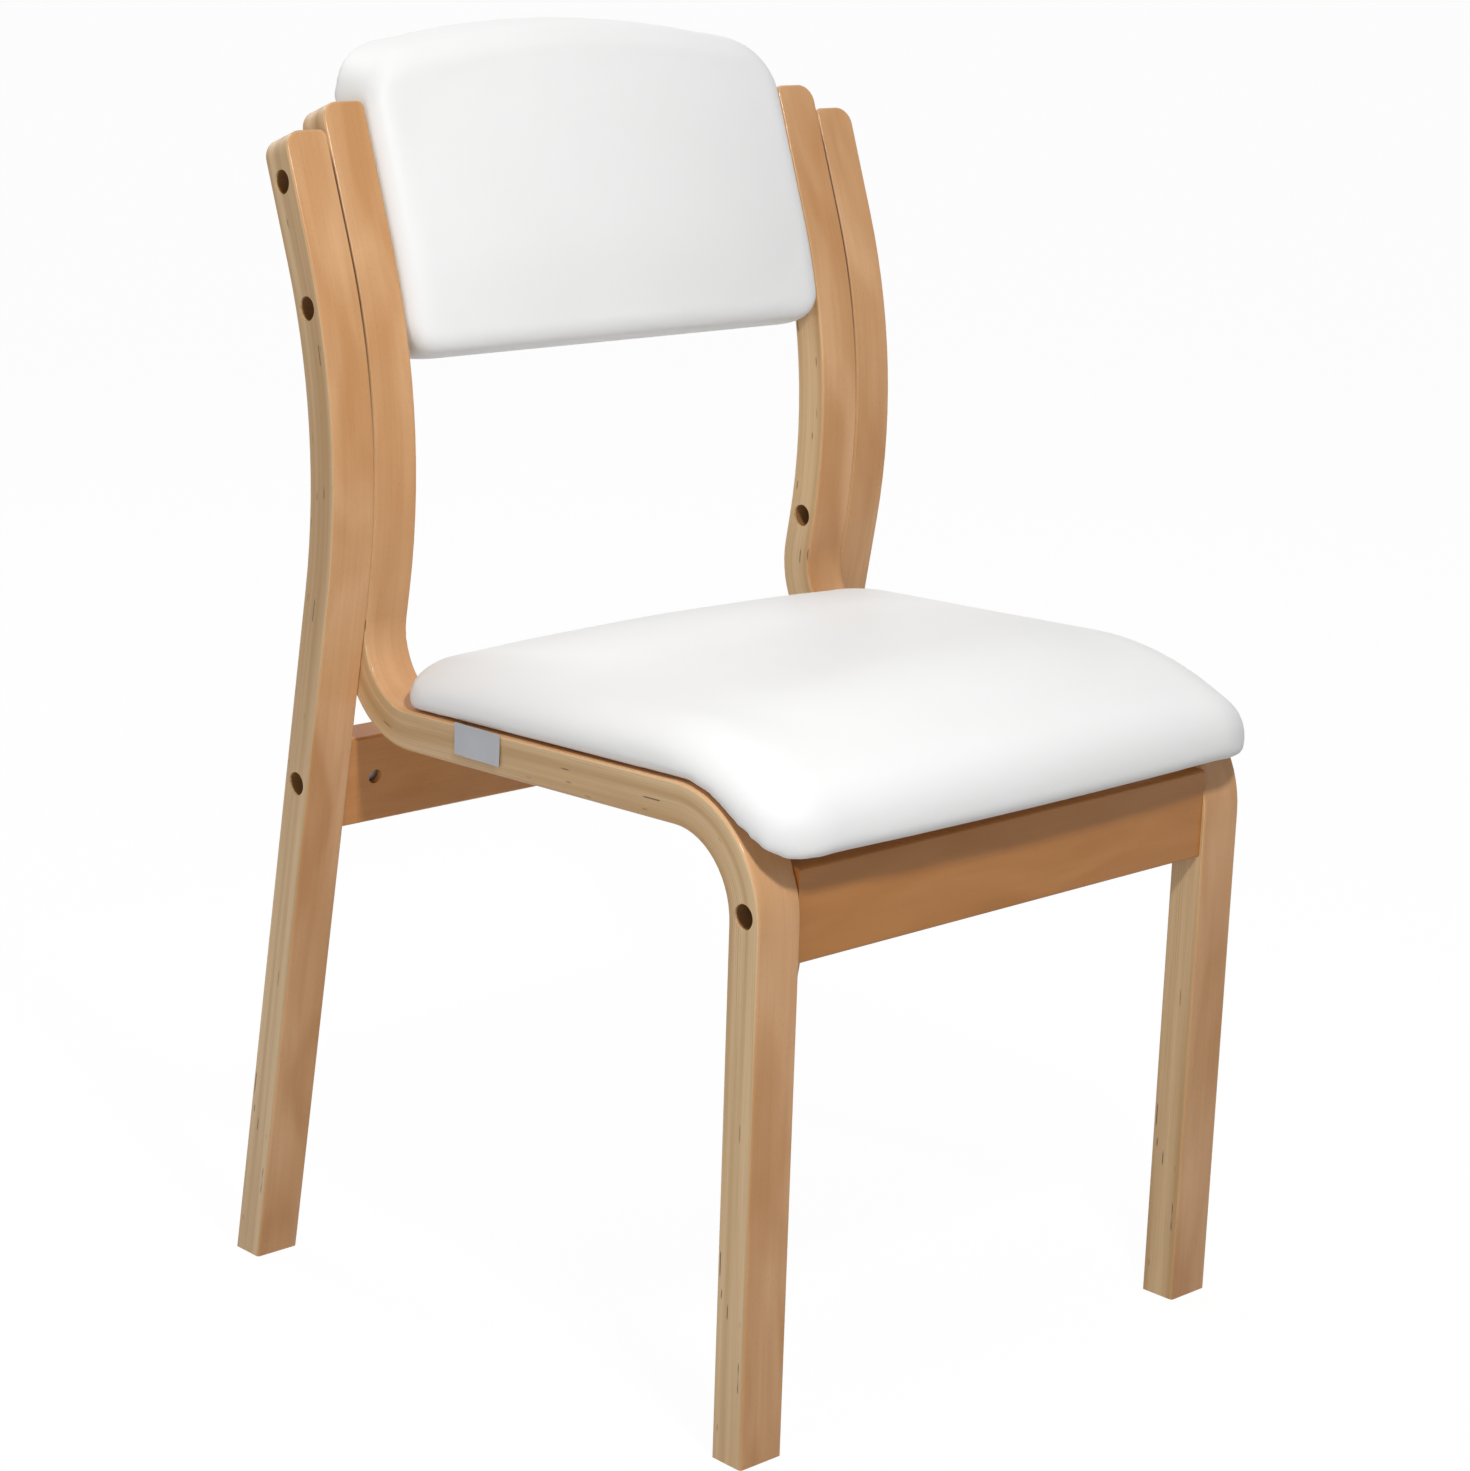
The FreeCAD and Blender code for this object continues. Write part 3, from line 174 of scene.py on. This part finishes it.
def laminated_beech(name, corners, radii, inner, outer, thick=0.027, layer=0.00193):
    """Beech veneers glued face to face: warm figured faces, and paler edges ruled with the veneers' lines."""
    material, tree = blank_material(name)
    place = add(tree, "TexCoord").outputs["Object"]
    spot, length = along_plank(tree, place, corners, radii)
    along, across, depth = add(tree, "SeparateXYZ", {0: spot}).outputs
    face, height = beech_figure(tree, spot)

    # Fourteen veneers of 1.93 mm, paler and darker in groups about 8 mm thick that drift slowly along the plank
    count = add(tree, "Math", {0: depth, 1: layer}, operation="DIVIDE").outputs[0]
    number = add(tree, "Math", {0: count}, operation="FLOOR").outputs[0]
    part = add(tree, "Math", {0: count, 1: number}, operation="SUBTRACT").outputs[0]
    band = add(tree, "VectorMath", {0: spot, 1: (2.5, 12, 130)}, operation="MULTIPLY").outputs[0]
    band = add(tree, "TexNoise", {"Vector": band, "Scale": 1.0, "Detail": 1.0}).outputs[0]
    band = add(tree, "MapRange", {0: band, 1: 0.32, 2: 0.68, 3: 0.0, 4: 1.0}).outputs[0]
    edge = add(tree, "Mix", {0: band, 6: colour("C49C6B"), 7: colour("E4C396")}, data_type="RGBA").outputs[2]
    fibre = add(tree, "VectorMath", {0: spot, 1: (14, 300, 1500)}, operation="MULTIPLY").outputs[0]
    fibre = add(tree, "TexNoise", {"Vector": fibre, "Scale": 1.0, "Detail": 2.0}).outputs[0]
    streak = add(tree, "MapRange", {0: fibre, 1: 0.48, 2: 0.78, 3: 0.0, 4: 0.3}).outputs[0]
    edge = add(tree, "Mix", {0: streak, 6: edge, 7: colour("A57C4B")}, data_type="RGBA").outputs[2]

    # Glue lines, drawn 0.3 mm wide so that they show, and only here and there dark
    slow = add(tree, "Math", {0: along, 1: 5.0}, operation="MULTIPLY").outputs[0]
    apart = add(tree, "Math", {0: number, 1: 7.31}, operation="MULTIPLY").outputs[0]
    drift = add(tree, "CombineXYZ", {0: slow, 1: apart}).outputs[0]
    drift = add(tree, "TexNoise", {"Vector": drift, "Scale": 1.0, "Detail": 1.0}).outputs[0]
    drift = add(tree, "MapRange", {0: drift, 1: 0.50, 2: 0.74, 3: 0.0, 4: 0.7}).outputs[0]
    close = add(tree, "Math", {0: part, 1: 0.5}, operation="SUBTRACT").outputs[0]
    close = add(tree, "Math", {0: close}, operation="ABSOLUTE").outputs[0]
    line = add(tree, "MapRange", {0: close, 1: 0.38, 2: 0.5, 3: 0.0, 4: 1.0}).outputs[0]
    line = add(tree, "Math", {0: line, 1: drift}, operation="MULTIPLY").outputs[0]
    edge = add(tree, "Mix", {0: line, 6: edge, 7: colour("8C6A42")}, data_type="RGBA").outputs[2]

    # Now and then a veneer has split or a knot has fallen out, which leaves a dark dash 10 to 25 mm long
    dash = add(tree, "Math", {0: along, 1: 34.0}, operation="MULTIPLY").outputs[0]
    apart = add(tree, "Math", {0: number, 1: 3.77}, operation="MULTIPLY").outputs[0]
    dash = add(tree, "CombineXYZ", {0: dash, 1: apart, 2: 4.2}).outputs[0]
    dash = add(tree, "TexNoise", {"Vector": dash, "Scale": 1.0, "Detail": 1.0}).outputs[0]
    dash = add(tree, "MapRange", {0: dash, 1: 0.70, 2: 0.74, 3: 0.0, 4: 0.85}).outputs[0]
    middle = add(tree, "MapRange", {0: close, 1: 0.14, 2: 0.32, 3: 1.0, 4: 0.0}).outputs[0]
    dash = add(tree, "Math", {0: dash, 1: middle}, operation="MULTIPLY").outputs[0]
    edge = add(tree, "Mix", {0: dash, 6: edge, 7: colour("4A3018")}, data_type="RGBA").outputs[2]

    # The outer veneer on each face is 0.8 mm of chosen beech
    back = add(tree, "Math", {0: thick, 1: depth}, operation="SUBTRACT").outputs[0]
    cover = add(tree, "Math", {0: depth, 1: back}, operation="MINIMUM").outputs[0]
    shown = add(tree, "MapRange", {0: cover, 1: 0.0006, 2: 0.0010, 3: 0.0, 4: 1.0}).outputs[0]
    tone = add(tree, "Mix", {0: shown, 6: face, 7: edge}, data_type="RGBA").outputs[2]

    # Inside the plank, 1.6 mm or more from its faces, sides and ends, are only the walls of the drilled holes; their
    # colour is drawn darker, as painted shade for the dark depths of the holes
    out = add(tree, "Math", {0: across}, operation="ABSOLUTE").outputs[0]
    near = add(tree, "Math", {0: out, 1: inner}, operation="SUBTRACT").outputs[0]
    far = add(tree, "Math", {0: outer, 1: out}, operation="SUBTRACT").outputs[0]
    core = add(tree, "Math", {0: near, 1: far}, operation="MINIMUM").outputs[0]
    core = add(tree, "Math", {0: core, 1: cover}, operation="MINIMUM").outputs[0]
    foot = add(tree, "Math", {0: along, 1: 0.008}, operation="SUBTRACT").outputs[0]
    core = add(tree, "Math", {0: core, 1: foot}, operation="MINIMUM").outputs[0]
    top = add(tree, "Math", {0: length - 0.015, 1: along}, operation="SUBTRACT").outputs[0]
    core = add(tree, "Math", {0: core, 1: top}, operation="MINIMUM").outputs[0]
    hole_shade = add(tree, "MapRange", {0: core, 1: 0.0012, 2: 0.0020, 3: 0.0, 4: 1.0}).outputs[0]
    tone = add(tree, "Mix", {0: hole_shade, 6: tone, 7: colour("A07548")}, data_type="RGBA").outputs[2]

    # Above the waist the two planks lie side by side, and the shade in the narrow groove of the joint between them is
    # painted as a dark line about 2 mm wide
    beside = add(tree, "Math", {0: out, 1: joint_side}, operation="SUBTRACT").outputs[0]
    beside = add(tree, "Math", {0: beside}, operation="ABSOLUTE").outputs[0]
    joint_shade = add(tree, "MapRange", {0: beside, 1: 0.0003, 2: 0.0013, 3: 0.85, 4: 0.0}).outputs[0]
    level = add(tree, "SeparateXYZ", {0: place}).outputs[2]
    start = add(tree, "MapRange", {0: level, 1: 0.57, 2: 0.68, 3: 0.0, 4: 1.0}).outputs[0]
    joint_shade = add(tree, "Math", {0: joint_shade, 1: start}, operation="MULTIPLY").outputs[0]
    stop = add(tree, "MapRange", {0: level, 1: 0.765, 2: 0.780, 3: 1.0, 4: 0.0}).outputs[0]
    joint_shade = add(tree, "Math", {0: joint_shade, 1: stop}, operation="MULTIPLY").outputs[0]
    tone = add(tree, "Mix", {0: joint_shade, 6: tone, 7: colour("5A3A1E")}, data_type="RGBA").outputs[2]
    lacquered(tree, place, tone, height)
    return material


frame_radii = [knee_radius, hip_radius, waist_radius]
leg_beech = laminated_beech("beech_laminate_leg", leg_corners, [waist_radius], joint_side, outer_side)
frame_beech = laminated_beech("beech_laminate_frame", frame_corners, frame_radii, inner_side, joint_side)


def finish_nodes(material, *names):
    """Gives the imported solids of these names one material."""
    for name in names:
        mesh = nodes[name].data
        mesh.materials.clear()
        mesh.materials.append(material)


finish_nodes(leg_beech, "rear_leg_left", "rear_leg_right")
finish_nodes(frame_beech, "side_frame_left", "side_frame_right")


# Cross rails and dowels
# A flat beech board stands between the side frames under the front of the seat and another at the back.
# Each end has two beech dowels and a bolt through the plank; the boards are lacquered like the planks.
def beech_board(name, figure, dark, light):
    """Lacquered beech with its grain along x."""
    material, tree = blank_material(name)
    place = add(tree, "TexCoord").outputs["Object"]
    spot = add(tree, "VectorMath", {0: place, 1: figure}).outputs[0]
    tone, height = beech_figure(tree, spot, dark, light)
    lacquered(tree, place, tone, height)
    return material


finish_nodes(beech_board("beech_front_rail", (0.7, 0.2, 0.31), "B47534", "C48546"), "front_rail")
# The rear rail is the same beech as the front one, drawn lighter as painted light, to make up for the light it misses
# in the shade under the seat
finish_nodes(beech_board("beech_rear_rail_painted_light", (0.4, 0.6, 0.13), "CE8B48", "E09E5F"), "rear_rail")
finish_nodes(beech_board("beech_dowel", (0.1, 0.5, 0.9), "C79A66", "D8B283"), "front_rail_dowels", "rear_rail_dowels")


# Bolts, nuts, washers and screws
# Furniture bolts and barrel nuts hold the rails, the back and the seat; they sit down in their holes.
# Turned or pressed steel, zinc plated.
zinc, tree = blank_material("zinc_plated_steel")
# Zinc has a faint bluish bloom in patches of about 3 mm, a little uneven, which breaks up its shine
bloom = add(tree, "TexNoise", {"Scale": 330.0, "Detail": 3.0}).outputs[0]
# Its colour is drawn darker than fresh plated zinc, as painted shade for the bolts and nuts that sit deep in their
# holes
tone = add(tree, "Mix", {0: bloom, 6: colour("6E7173"), 7: colour("9A9C9C")}, data_type="RGBA").outputs[2]
rough = add(tree, "MapRange", {0: bloom, 1: 0.3, 2: 0.7, 3: 0.28, 4: 0.45}).outputs[0]
bump = add(tree, "Bump", {"Strength": 0.2, "Distance": 0.0001, "Height": bloom}).outputs[0]
skin = add(tree, "BsdfPrincipled", {"Base Color": tone, "Metallic": 1.0, "Roughness": rough, "Normal": bump})
add(tree, "OutputMaterial", {"Surface": skin.outputs[0]})
finish_nodes(zinc, "front_rail_bolts", "front_rail_nuts", "rear_rail_bolts", "rear_rail_nuts", "frame_tie_screws")
finish_nodes(zinc, "back_bolts", "back_nuts", "bolt_washers", "seat_screws", "seat_tee_nuts")


# Seat and back boards
# Bent plywood shells carry the foam; nothing of them shows but the seat board's rim, from below.
# Birch plies 1.5 mm thick, unfinished.
plywood, tree = blank_material("birch_plywood")
# Bare birch is pale and dull, with fine fibres that run from front to back
place = add(tree, "TexCoord").outputs["Object"]
grain = add(tree, "VectorMath", {0: place, 1: (400, 8, 400)}, operation="MULTIPLY").outputs[0]
grain = add(tree, "TexNoise", {"Vector": grain, "Scale": 1.0, "Detail": 3.0}).outputs[0]
tone = add(tree, "Mix", {0: grain, 6: colour("CBAA7C"), 7: colour("E3CDA6")}, data_type="RGBA").outputs[2]
bump = add(tree, "Bump", {"Strength": 0.2, "Distance": 0.0002, "Height": grain}).outputs[0]
skin = add(tree, "BsdfPrincipled", {"Base Color": tone, "Roughness": 0.65, "IOR": 1.5, "Normal": bump})
add(tree, "OutputMaterial", {"Surface": skin.outputs[0]})
finish_nodes(plywood, "seat_board", "back_board")


# Seat pad
# A moulded foam pad on the seat board, its white vinyl cover drawn over the edges and stapled underneath.
# It bends down over the front rail in a full, soft nose and rests on the two side frames.
def applied(piece):
    """Works a piece's modifiers into its mesh."""
    graph = bpy.context.evaluated_depsgraph_get()
    piece.data = bpy.data.meshes.new_from_object(piece.evaluated_get(graph))
    piece.modifiers.clear()


def piece_from(form, name):
    """A new object in the scene that has this form as its mesh."""
    mesh = bpy.data.meshes.new(name)
    form.to_mesh(mesh)
    form.free()
    piece = bpy.data.objects.new(name, mesh)
    bpy.context.collection.objects.link(piece)
    return piece


def upholstered(name, solids, is_held, rounding, slack=0.0015, most=0.004, grid=0.004, frames=20):
    """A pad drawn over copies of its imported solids, eased in by slack and swelled again by a cloth simulation."""
    form = bmesh.new()
    for solid in solids:
        form.from_mesh(nodes[solid].data)
    packed = BVHTree.FromBMesh(form)
    pad = piece_from(form, name)
    remesh = pad.modifiers.new("skin", "REMESH")
    remesh.mode = "VOXEL"
    remesh.voxel_size = grid
    applied(pad)

    # Only the outer skin is kept, without those that the gaps between cover, foam and board leave inside
    form = bmesh.new()
    form.from_mesh(pad.data)
    start = min(form.verts, key=lambda corner: corner.co.x)
    skin, reached = {start}, [start]
    while reached:
        corner = reached.pop()
        for line in corner.link_edges:
            other = line.other_vert(corner)
            if other not in skin:
                skin.add(other)
                reached.append(other)
    bmesh.ops.delete(form, geom=[corner for corner in form.verts if corner not in skin], context="VERTS")
    for _ in range(3):
        bmesh.ops.smooth_vert(
            form, verts=form.verts, factor=0.5, use_axis_x=True, use_axis_y=True, use_axis_z=True
        )
    form.normal_update()

    # The grid is coarse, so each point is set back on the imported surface, a hair above it or, if held, below
    sunk, raised, reach = -0.0002, 0.0003, 0.01
    for corner in form.verts:
        spot = packed.ray_cast(corner.co + corner.normal * reach, -corner.normal, 2 * reach)[0]
        if spot:
            corner.co = spot + corner.normal * (sunk if is_held(corner) else raised)

    # The cover turns under in a soft edge, which leaves a dark crack between it and what it lies on
    under = {corner for corner in form.verts if is_held(corner)}
    hem = {c for line in form.edges for c in line.verts if (line.verts[0] in under) != (line.verts[1] in under)}
    for _ in range(2):
        hem |= {line.other_vert(corner) for corner in hem for line in corner.link_edges}
    hem = [(corner, 0.5 * min(1.0, max(0.0, rounding(corner)))) for corner in hem]
    for _ in range(5):
        around = [[line.other_vert(corner).co for line in corner.link_edges] for corner, _ in hem]
        middles = [sum(spots, Vector()) / len(spots) for spots in around]
        for (corner, share), middle in zip(hem, middles):
            corner.co = corner.co.lerp(middle, share)
    form.normal_update()
    form.verts.index_update()
    held = [corner.index for corner in form.verts if is_held(corner)]
    ends = np.array([[corner.index for corner in line.verts] for line in form.edges]).T
    outward = [corner.normal.copy() for corner in form.verts]
    full = [corner.co.copy() for corner in form.verts]
    is_free = np.ones(len(full))
    is_free[held] = 0.0
    for corner in form.verts:
        corner.co -= corner.normal * slack * is_free[corner.index]
    form.to_mesh(pad.data)
    form.free()
    pad.data.polygons.foreach_set("use_smooth", [True] * len(pad.data.polygons))
    swell = np.zeros(len(full))
    pad.vertex_groups.new(name="held").add(held, 1.0, "REPLACE")
    cloth = pad.modifiers.new("swell", "CLOTH")
    cloth.settings.vertex_group_mass = "held"
    cloth.settings.use_pressure = True
    cloth.settings.uniform_pressure_force = 4.0
    cloth.settings.tension_stiffness = 30
    cloth.settings.compression_stiffness = 30
    cloth.settings.effector_weights.gravity = 0
    cloth.point_cache.frame_start = 1
    cloth.point_cache.frame_end = frames
    for number in range(1, frames + 1):
        bpy.context.scene.frame_set(number)
    applied(pad)
    bpy.context.scene.frame_set(1)
    swell = np.array([(c.co - old).dot(way) for c, old, way in zip(pad.data.vertices, full, outward)])

    # Vinyl on foam can't follow each ripple of the simulation, so the swelling is evened out over about 80 mm
    swell = np.clip(swell, -most, most) * is_free
    shares = 1 + np.bincount(ends.ravel(), minlength=len(full))
    for _ in range(250):
        around = np.bincount(ends[0], swell[ends[1]], len(full)) + np.bincount(ends[1], swell[ends[0]], len(full))
        swell = is_free * (swell + around) / shares
    for corner, old, way, far in zip(pad.data.vertices, full, outward, swell):
        corner.co = old + way * max(0.0, far)
    rounder = pad.modifiers.new("finer", "SUBSURF")
    rounder.levels = rounder.render_levels = 1
    return pad


def under_seat(corner):
    return corner.normal.z < -0.3


def seat_hem(corner):
    """How much the hem is evened out: not at all in front of knee_start, and in full from 40 mm behind it."""
    knee_start = -0.17
    return (corner.co.y - knee_start) / 0.04


seat_pad = upholstered("seat_pad", ["seat_cover", "seat_foam", "seat_board"], under_seat, seat_hem)


def eased(share):
    """A share from 0 to 1 that starts and ends gently."""
    share = min(1.0, max(0.0, share))
    return share * share * (3 - 2 * share)


# Where the cover lies on a side frame it turns under round an edge of 7 mm, also over the knee. The lower
# corners of the nose hang full: they start 170 mm out, 225 mm forward and 410 mm up, and reach their drop over
# the next 35, 30 and 15 mm.
hem_radius, hem_gap, half_width = 0.007, 0.0005, 0.2161
nose_starts, nose_runs, nose_drop = (0.17, 0.225, -0.41), (0.035, 0.03, 0.015), 0.0032
foot, knee, hip = [Vector(corner) for corner in frame_corners[:3]]
seatward, footward = (hip - knee).normalized(), (foot - knee).normalized()
knee_centre = knee + (seatward + footward).normalized() * knee_radius / math.sin(seatward.angle(footward) / 2)
for corner in seat_pad.data.vertices:
    x, spot = corner.co.x, Vector(corner.co.yz)
    out = spot - knee_centre
    upward = out.normalized() if out.dot(seatward) < 0 else Vector((-seatward.y, seatward.x))
    beside = abs(x) - half_width + hem_radius
    below = hem_gap + hem_radius - (out.dot(upward) - knee_radius)
    if beside > 0 and below > 0 and math.hypot(beside, below) > hem_radius:
        share = hem_radius / math.hypot(beside, below)
        x = math.copysign(half_width - hem_radius + beside * share, x)
        spot += upward * below * (1 - share)
    inside = zip((abs(x), -spot.x, -spot.y), nose_starts, nose_runs)
    fullness = math.prod(eased((way - start) / run) for way, start, run in inside)
    corner.co = (x, spot.x, spot.y - nose_drop * fullness)

vinyl, tree = blank_material("white_vinyl")
# Coated fabric embossed with a fine leather grain, drawn 1.4 mm, twice its real size, so that it shows;
# the wax finish gives wide soft highlights
place = add(tree, "TexCoord").outputs["Object"]
pebble = add(tree, "TexVoronoi", {"Vector": place, "Scale": 700.0}, feature="SMOOTH_F1").outputs["Distance"]
cloud = add(tree, "TexNoise", {"Vector": place, "Scale": 9.0, "Detail": 3.0}).outputs[0]
tone = add(tree, "Mix", {0: cloud, 6: colour("F1F1F0"), 7: colour("F7F7F7")}, data_type="RGBA").outputs[2]
rough = add(tree, "MapRange", {0: cloud, 1: 0.3, 2: 0.7, 3: 0.48, 4: 0.58}).outputs[0]
bump = add(tree, "Bump", {"Strength": 0.06, "Distance": 0.0003, "Height": pebble}).outputs[0]
skin = add(
    tree,
    "BsdfPrincipled",
    {"Base Color": tone, "Roughness": rough, "IOR": 1.5, "Specular IOR Level": 0.3, "Normal": bump},
)
add(tree, "OutputMaterial", {"Surface": skin.outputs[0]})

seat_pad.data.materials.append(vinyl)
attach(seat_pad, "root")
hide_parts("seat_cover", "seat_foam")


# Back pad
# A second foam pad on a bent plywood board between the posts, in one piece of vinyl that is drawn round the
# edges to the rear and stapled there.
def behind_back(corner):
    return corner.normal.y > 0.6


def back_hem(corner):
    return 0.6


back_pad = upholstered("back_pad", ["back_cover", "back_foam", "back_board"], behind_back, back_hem)
# The posts stop it swelling sideways
post_side = 0.1826
for corner in back_pad.data.vertices:
    corner.co.x = max(-post_side, min(post_side, corner.co.x))
back_pad.data.materials.append(vinyl)
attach(back_pad, "root")
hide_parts("back_cover", "back_foam")


# Rear panel of the back
# A thin board wrapped in the same vinyl closes the back pad behind. It covers the back pad's staples.
finish_nodes(vinyl, "back_panel")


# Dust cloth under the seat
# Black non-woven polypropylene, cut to size and stapled to the seat board from below, so that no foam shows.
# It is drawn tight, and sags a little in the middle.
low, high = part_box("seat_dust_cloth")
cloth_form = bmesh.new()
wide, deep = high[0] - low[0], high[1] - low[1]
most_sag, margin = 0.003, 0.0004
bmesh.ops.create_grid(cloth_form, x_segments=36, y_segments=28, size=0.5)
for corner in cloth_form.verts:
    x, y = corner.co.x, corner.co.y
    sag = most_sag * (1 - (2 * x) ** 2) * (1 - (2 * y) ** 2)
    rise = (high[2] - low[2] - 2 * margin) * (0.5 - y)
    corner.co = (x * wide, (low[1] + high[1]) / 2 + y * deep, low[2] + margin + rise - sag)
dust_cloth = piece_from(cloth_form, "dust_cloth")
spunbond, tree = blank_material("spunbond_polypropylene")
place = add(tree, "TexCoord").outputs["Object"]
# Matted fibres, bonded at small dots 2 mm apart
dots = add(tree, "TexVoronoi", {"Vector": place, "Scale": 500.0, "Randomness": 0.1}).outputs["Distance"]
tone = add(tree, "Mix", {0: dots, 6: colour("1B1B1D"), 7: colour("34343A")}, data_type="RGBA").outputs[2]
bump = add(tree, "Bump", {"Strength": 0.4, "Distance": 0.0003, "Height": dots}).outputs[0]
skin = add(tree, "BsdfPrincipled", {"Base Color": tone, "Roughness": 0.85, "IOR": 1.49, "Normal": bump})
add(tree, "OutputMaterial", {"Surface": skin.outputs[0]})
dust_cloth.data.materials.append(spunbond)
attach(dust_cloth, "root")
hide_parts("seat_dust_cloth")


# Side tag
# A bare strip of pale woven polyester tape, caught in the hem of the seat cover. It hangs down over the edge
# of the left side frame, with a slight curl.
low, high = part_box("side_tag")
tag_form = bmesh.new()
bmesh.ops.create_grid(tag_form, x_segments=24, y_segments=10, size=0.5)
for corner in tag_form.verts:
    y, z = corner.co.x, corner.co.y
    curl = 0.0008 * (0.5 - z) ** 2 + 0.0003 * math.sin(9 * y) * (0.5 - z)
    corner.co = (
        (low[0] + high[0]) / 2 - curl,
        (low[1] + high[1]) / 2 + y * (high[1] - low[1]),
        (low[2] + high[2]) / 2 + z * (high[2] - low[2]),
    )
tape_tag = piece_from(tag_form, "tape_tag")
tape, tree = blank_material("woven_polyester_tape")
place = add(tree, "TexCoord").outputs["Object"]
# Threads 1 mm apart, which is coarser than real tape, so that the weave shows
weft = add(tree, "TexWave", {"Vector": place, "Scale": 320.0}, bands_direction="Z").outputs["Fac"]
warp = add(tree, "TexWave", {"Vector": place, "Scale": 320.0}, bands_direction="Y").outputs["Fac"]
weave = add(tree, "Math", {0: weft, 1: warp}, operation="MULTIPLY").outputs[0]
tone = add(tree, "Mix", {0: weave, 6: colour("B9BCC2"), 7: colour("D6D8DC")}, data_type="RGBA").outputs[2]
bump = add(tree, "Bump", {"Strength": 0.3, "Distance": 0.0002, "Height": weave}).outputs[0]
skin = add(
    tree, "BsdfPrincipled", {"Base Color": tone, "Roughness": 0.6, "IOR": 1.5, "Normal": bump, "Sheen Weight": 0.2}
)
add(tree, "OutputMaterial", {"Surface": skin.outputs[0]})
tape_tag.data.materials.append(tape)
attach(tape_tag, "root")
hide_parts("side_tag")


# Floor, light and camera
# A studio floor of white paper that runs on into a white background, with only a faint shadow under the chair,
# lit by four square lamps and seen from where the photograph was taken.
floor_form = bmesh.new()
bmesh.ops.create_circle(floor_form, cap_ends=True, segments=64, radius=150.0)
floor = piece_from(floor_form, "floor")


def in_view(tree):
    """1 for what the camera sees, also by reflection or through glass, and 0 for light that falls on the chair."""
    path = add(tree, "LightPath").outputs
    seen = add(tree, "Math", {0: path["Is Camera Ray"], 1: path["Is Glossy Ray"]}).outputs[0]
    return add(tree, "Math", {0: seen, 1: path["Is Transmission Ray"]}, use_clamp=True).outputs[0]


paper, tree = blank_material("white_studio_paper")
seen = in_view(tree)
# Matt paper: what is seen is nearly white of itself, and dims only where the chair's shadow lies
glow = add(tree, "Math", {0: seen, 1: 0.968}, operation="MULTIPLY").outputs[0]
shade = add(tree, "Mix", {0: seen, 6: colour("C8C8C8"), 7: colour("3C3C3C")}, data_type="RGBA").outputs[2]
matt = add(tree, "BsdfDiffuse", {"Color": shade}).outputs[0]
white = add(tree, "Emission", {"Color": (1, 1, 1, 1), "Strength": glow}).outputs[0]
both = add(tree, "AddShader", {0: matt, 1: white}).outputs[0]
add(tree, "OutputMaterial", {"Surface": both})
floor.data.materials.append(paper)

world = bpy.data.worlds.new("studio")
bpy.context.scene.world = world
world.use_nodes = True
tree = world.node_tree
tree.nodes.clear()
seen = in_view(tree)
level = add(tree, "MapRange", {0: seen, 1: 0.0, 2: 1.0, 3: 0.22, 4: 1.0}).outputs[0]
sky = add(tree, "Background", {"Color": (1, 1, 1, 1), "Strength": level}).outputs[0]
add(tree, "OutputWorld", {"Surface": sky})


def soft_box(name, place, aim, size, power):
    """A square area lamp at place, turned to aim."""
    lamp = bpy.data.lights.new(name, "AREA")
    lamp.shape = "SQUARE"
    lamp.size = size
    lamp.energy = power
    holder = bpy.data.objects.new(name, lamp)
    holder.location = place
    holder.rotation_euler = (Vector(aim) - Vector(place)).to_track_quat("-Z", "Y").to_euler()
    bpy.context.collection.objects.link(holder)


# The small key, high in front, draws the shadow under the nose; the others soften it and light the sides
soft_box("key", (-0.5, -1.15, 1.6), (0, 0, 0.5), 0.15, 14.8)
soft_box("overhead", (0, 0.1, 3.2), (0, 0, 0.45), 2.6, 22)
soft_box("left", (-2.8, -0.7, 0.55), (0, 0, 0.4), 1.6, 17)
soft_box("rear", (-0.4, 2.4, 2.37), (0, 0, 0.5), 0.9, 20)

# The camera that was fitted to the photograph
yaw, pitch, roll = math.radians(41.91838), math.radians(13.70480), math.radians(-0.43461)
ahead = Vector((math.sin(yaw) * math.cos(pitch), math.cos(yaw) * math.cos(pitch), -math.sin(pitch)))
right = Vector((math.cos(yaw), -math.sin(yaw), 0))
down = ahead.cross(right)
across = right * math.cos(roll) + down * math.sin(roll)
drop = down * math.cos(roll) - right * math.sin(roll)
lens = bpy.data.cameras.new("camera")
lens.sensor_fit = "HORIZONTAL"
lens.sensor_width = 36.0
lens.lens = 81.7434
lens.clip_end = 400.0
camera = bpy.data.objects.new("camera", lens)
turn = Matrix((across, -drop, -ahead)).transposed()
camera.matrix_world = Matrix.Translation((-1.477854, -1.627479, 0.922587)) @ turn.to_4x4()
bpy.context.collection.objects.link(camera)
bpy.context.scene.camera = camera
bpy.context.scene.view_settings.view_transform = "Standard"

bpy.context.view_layer.update()
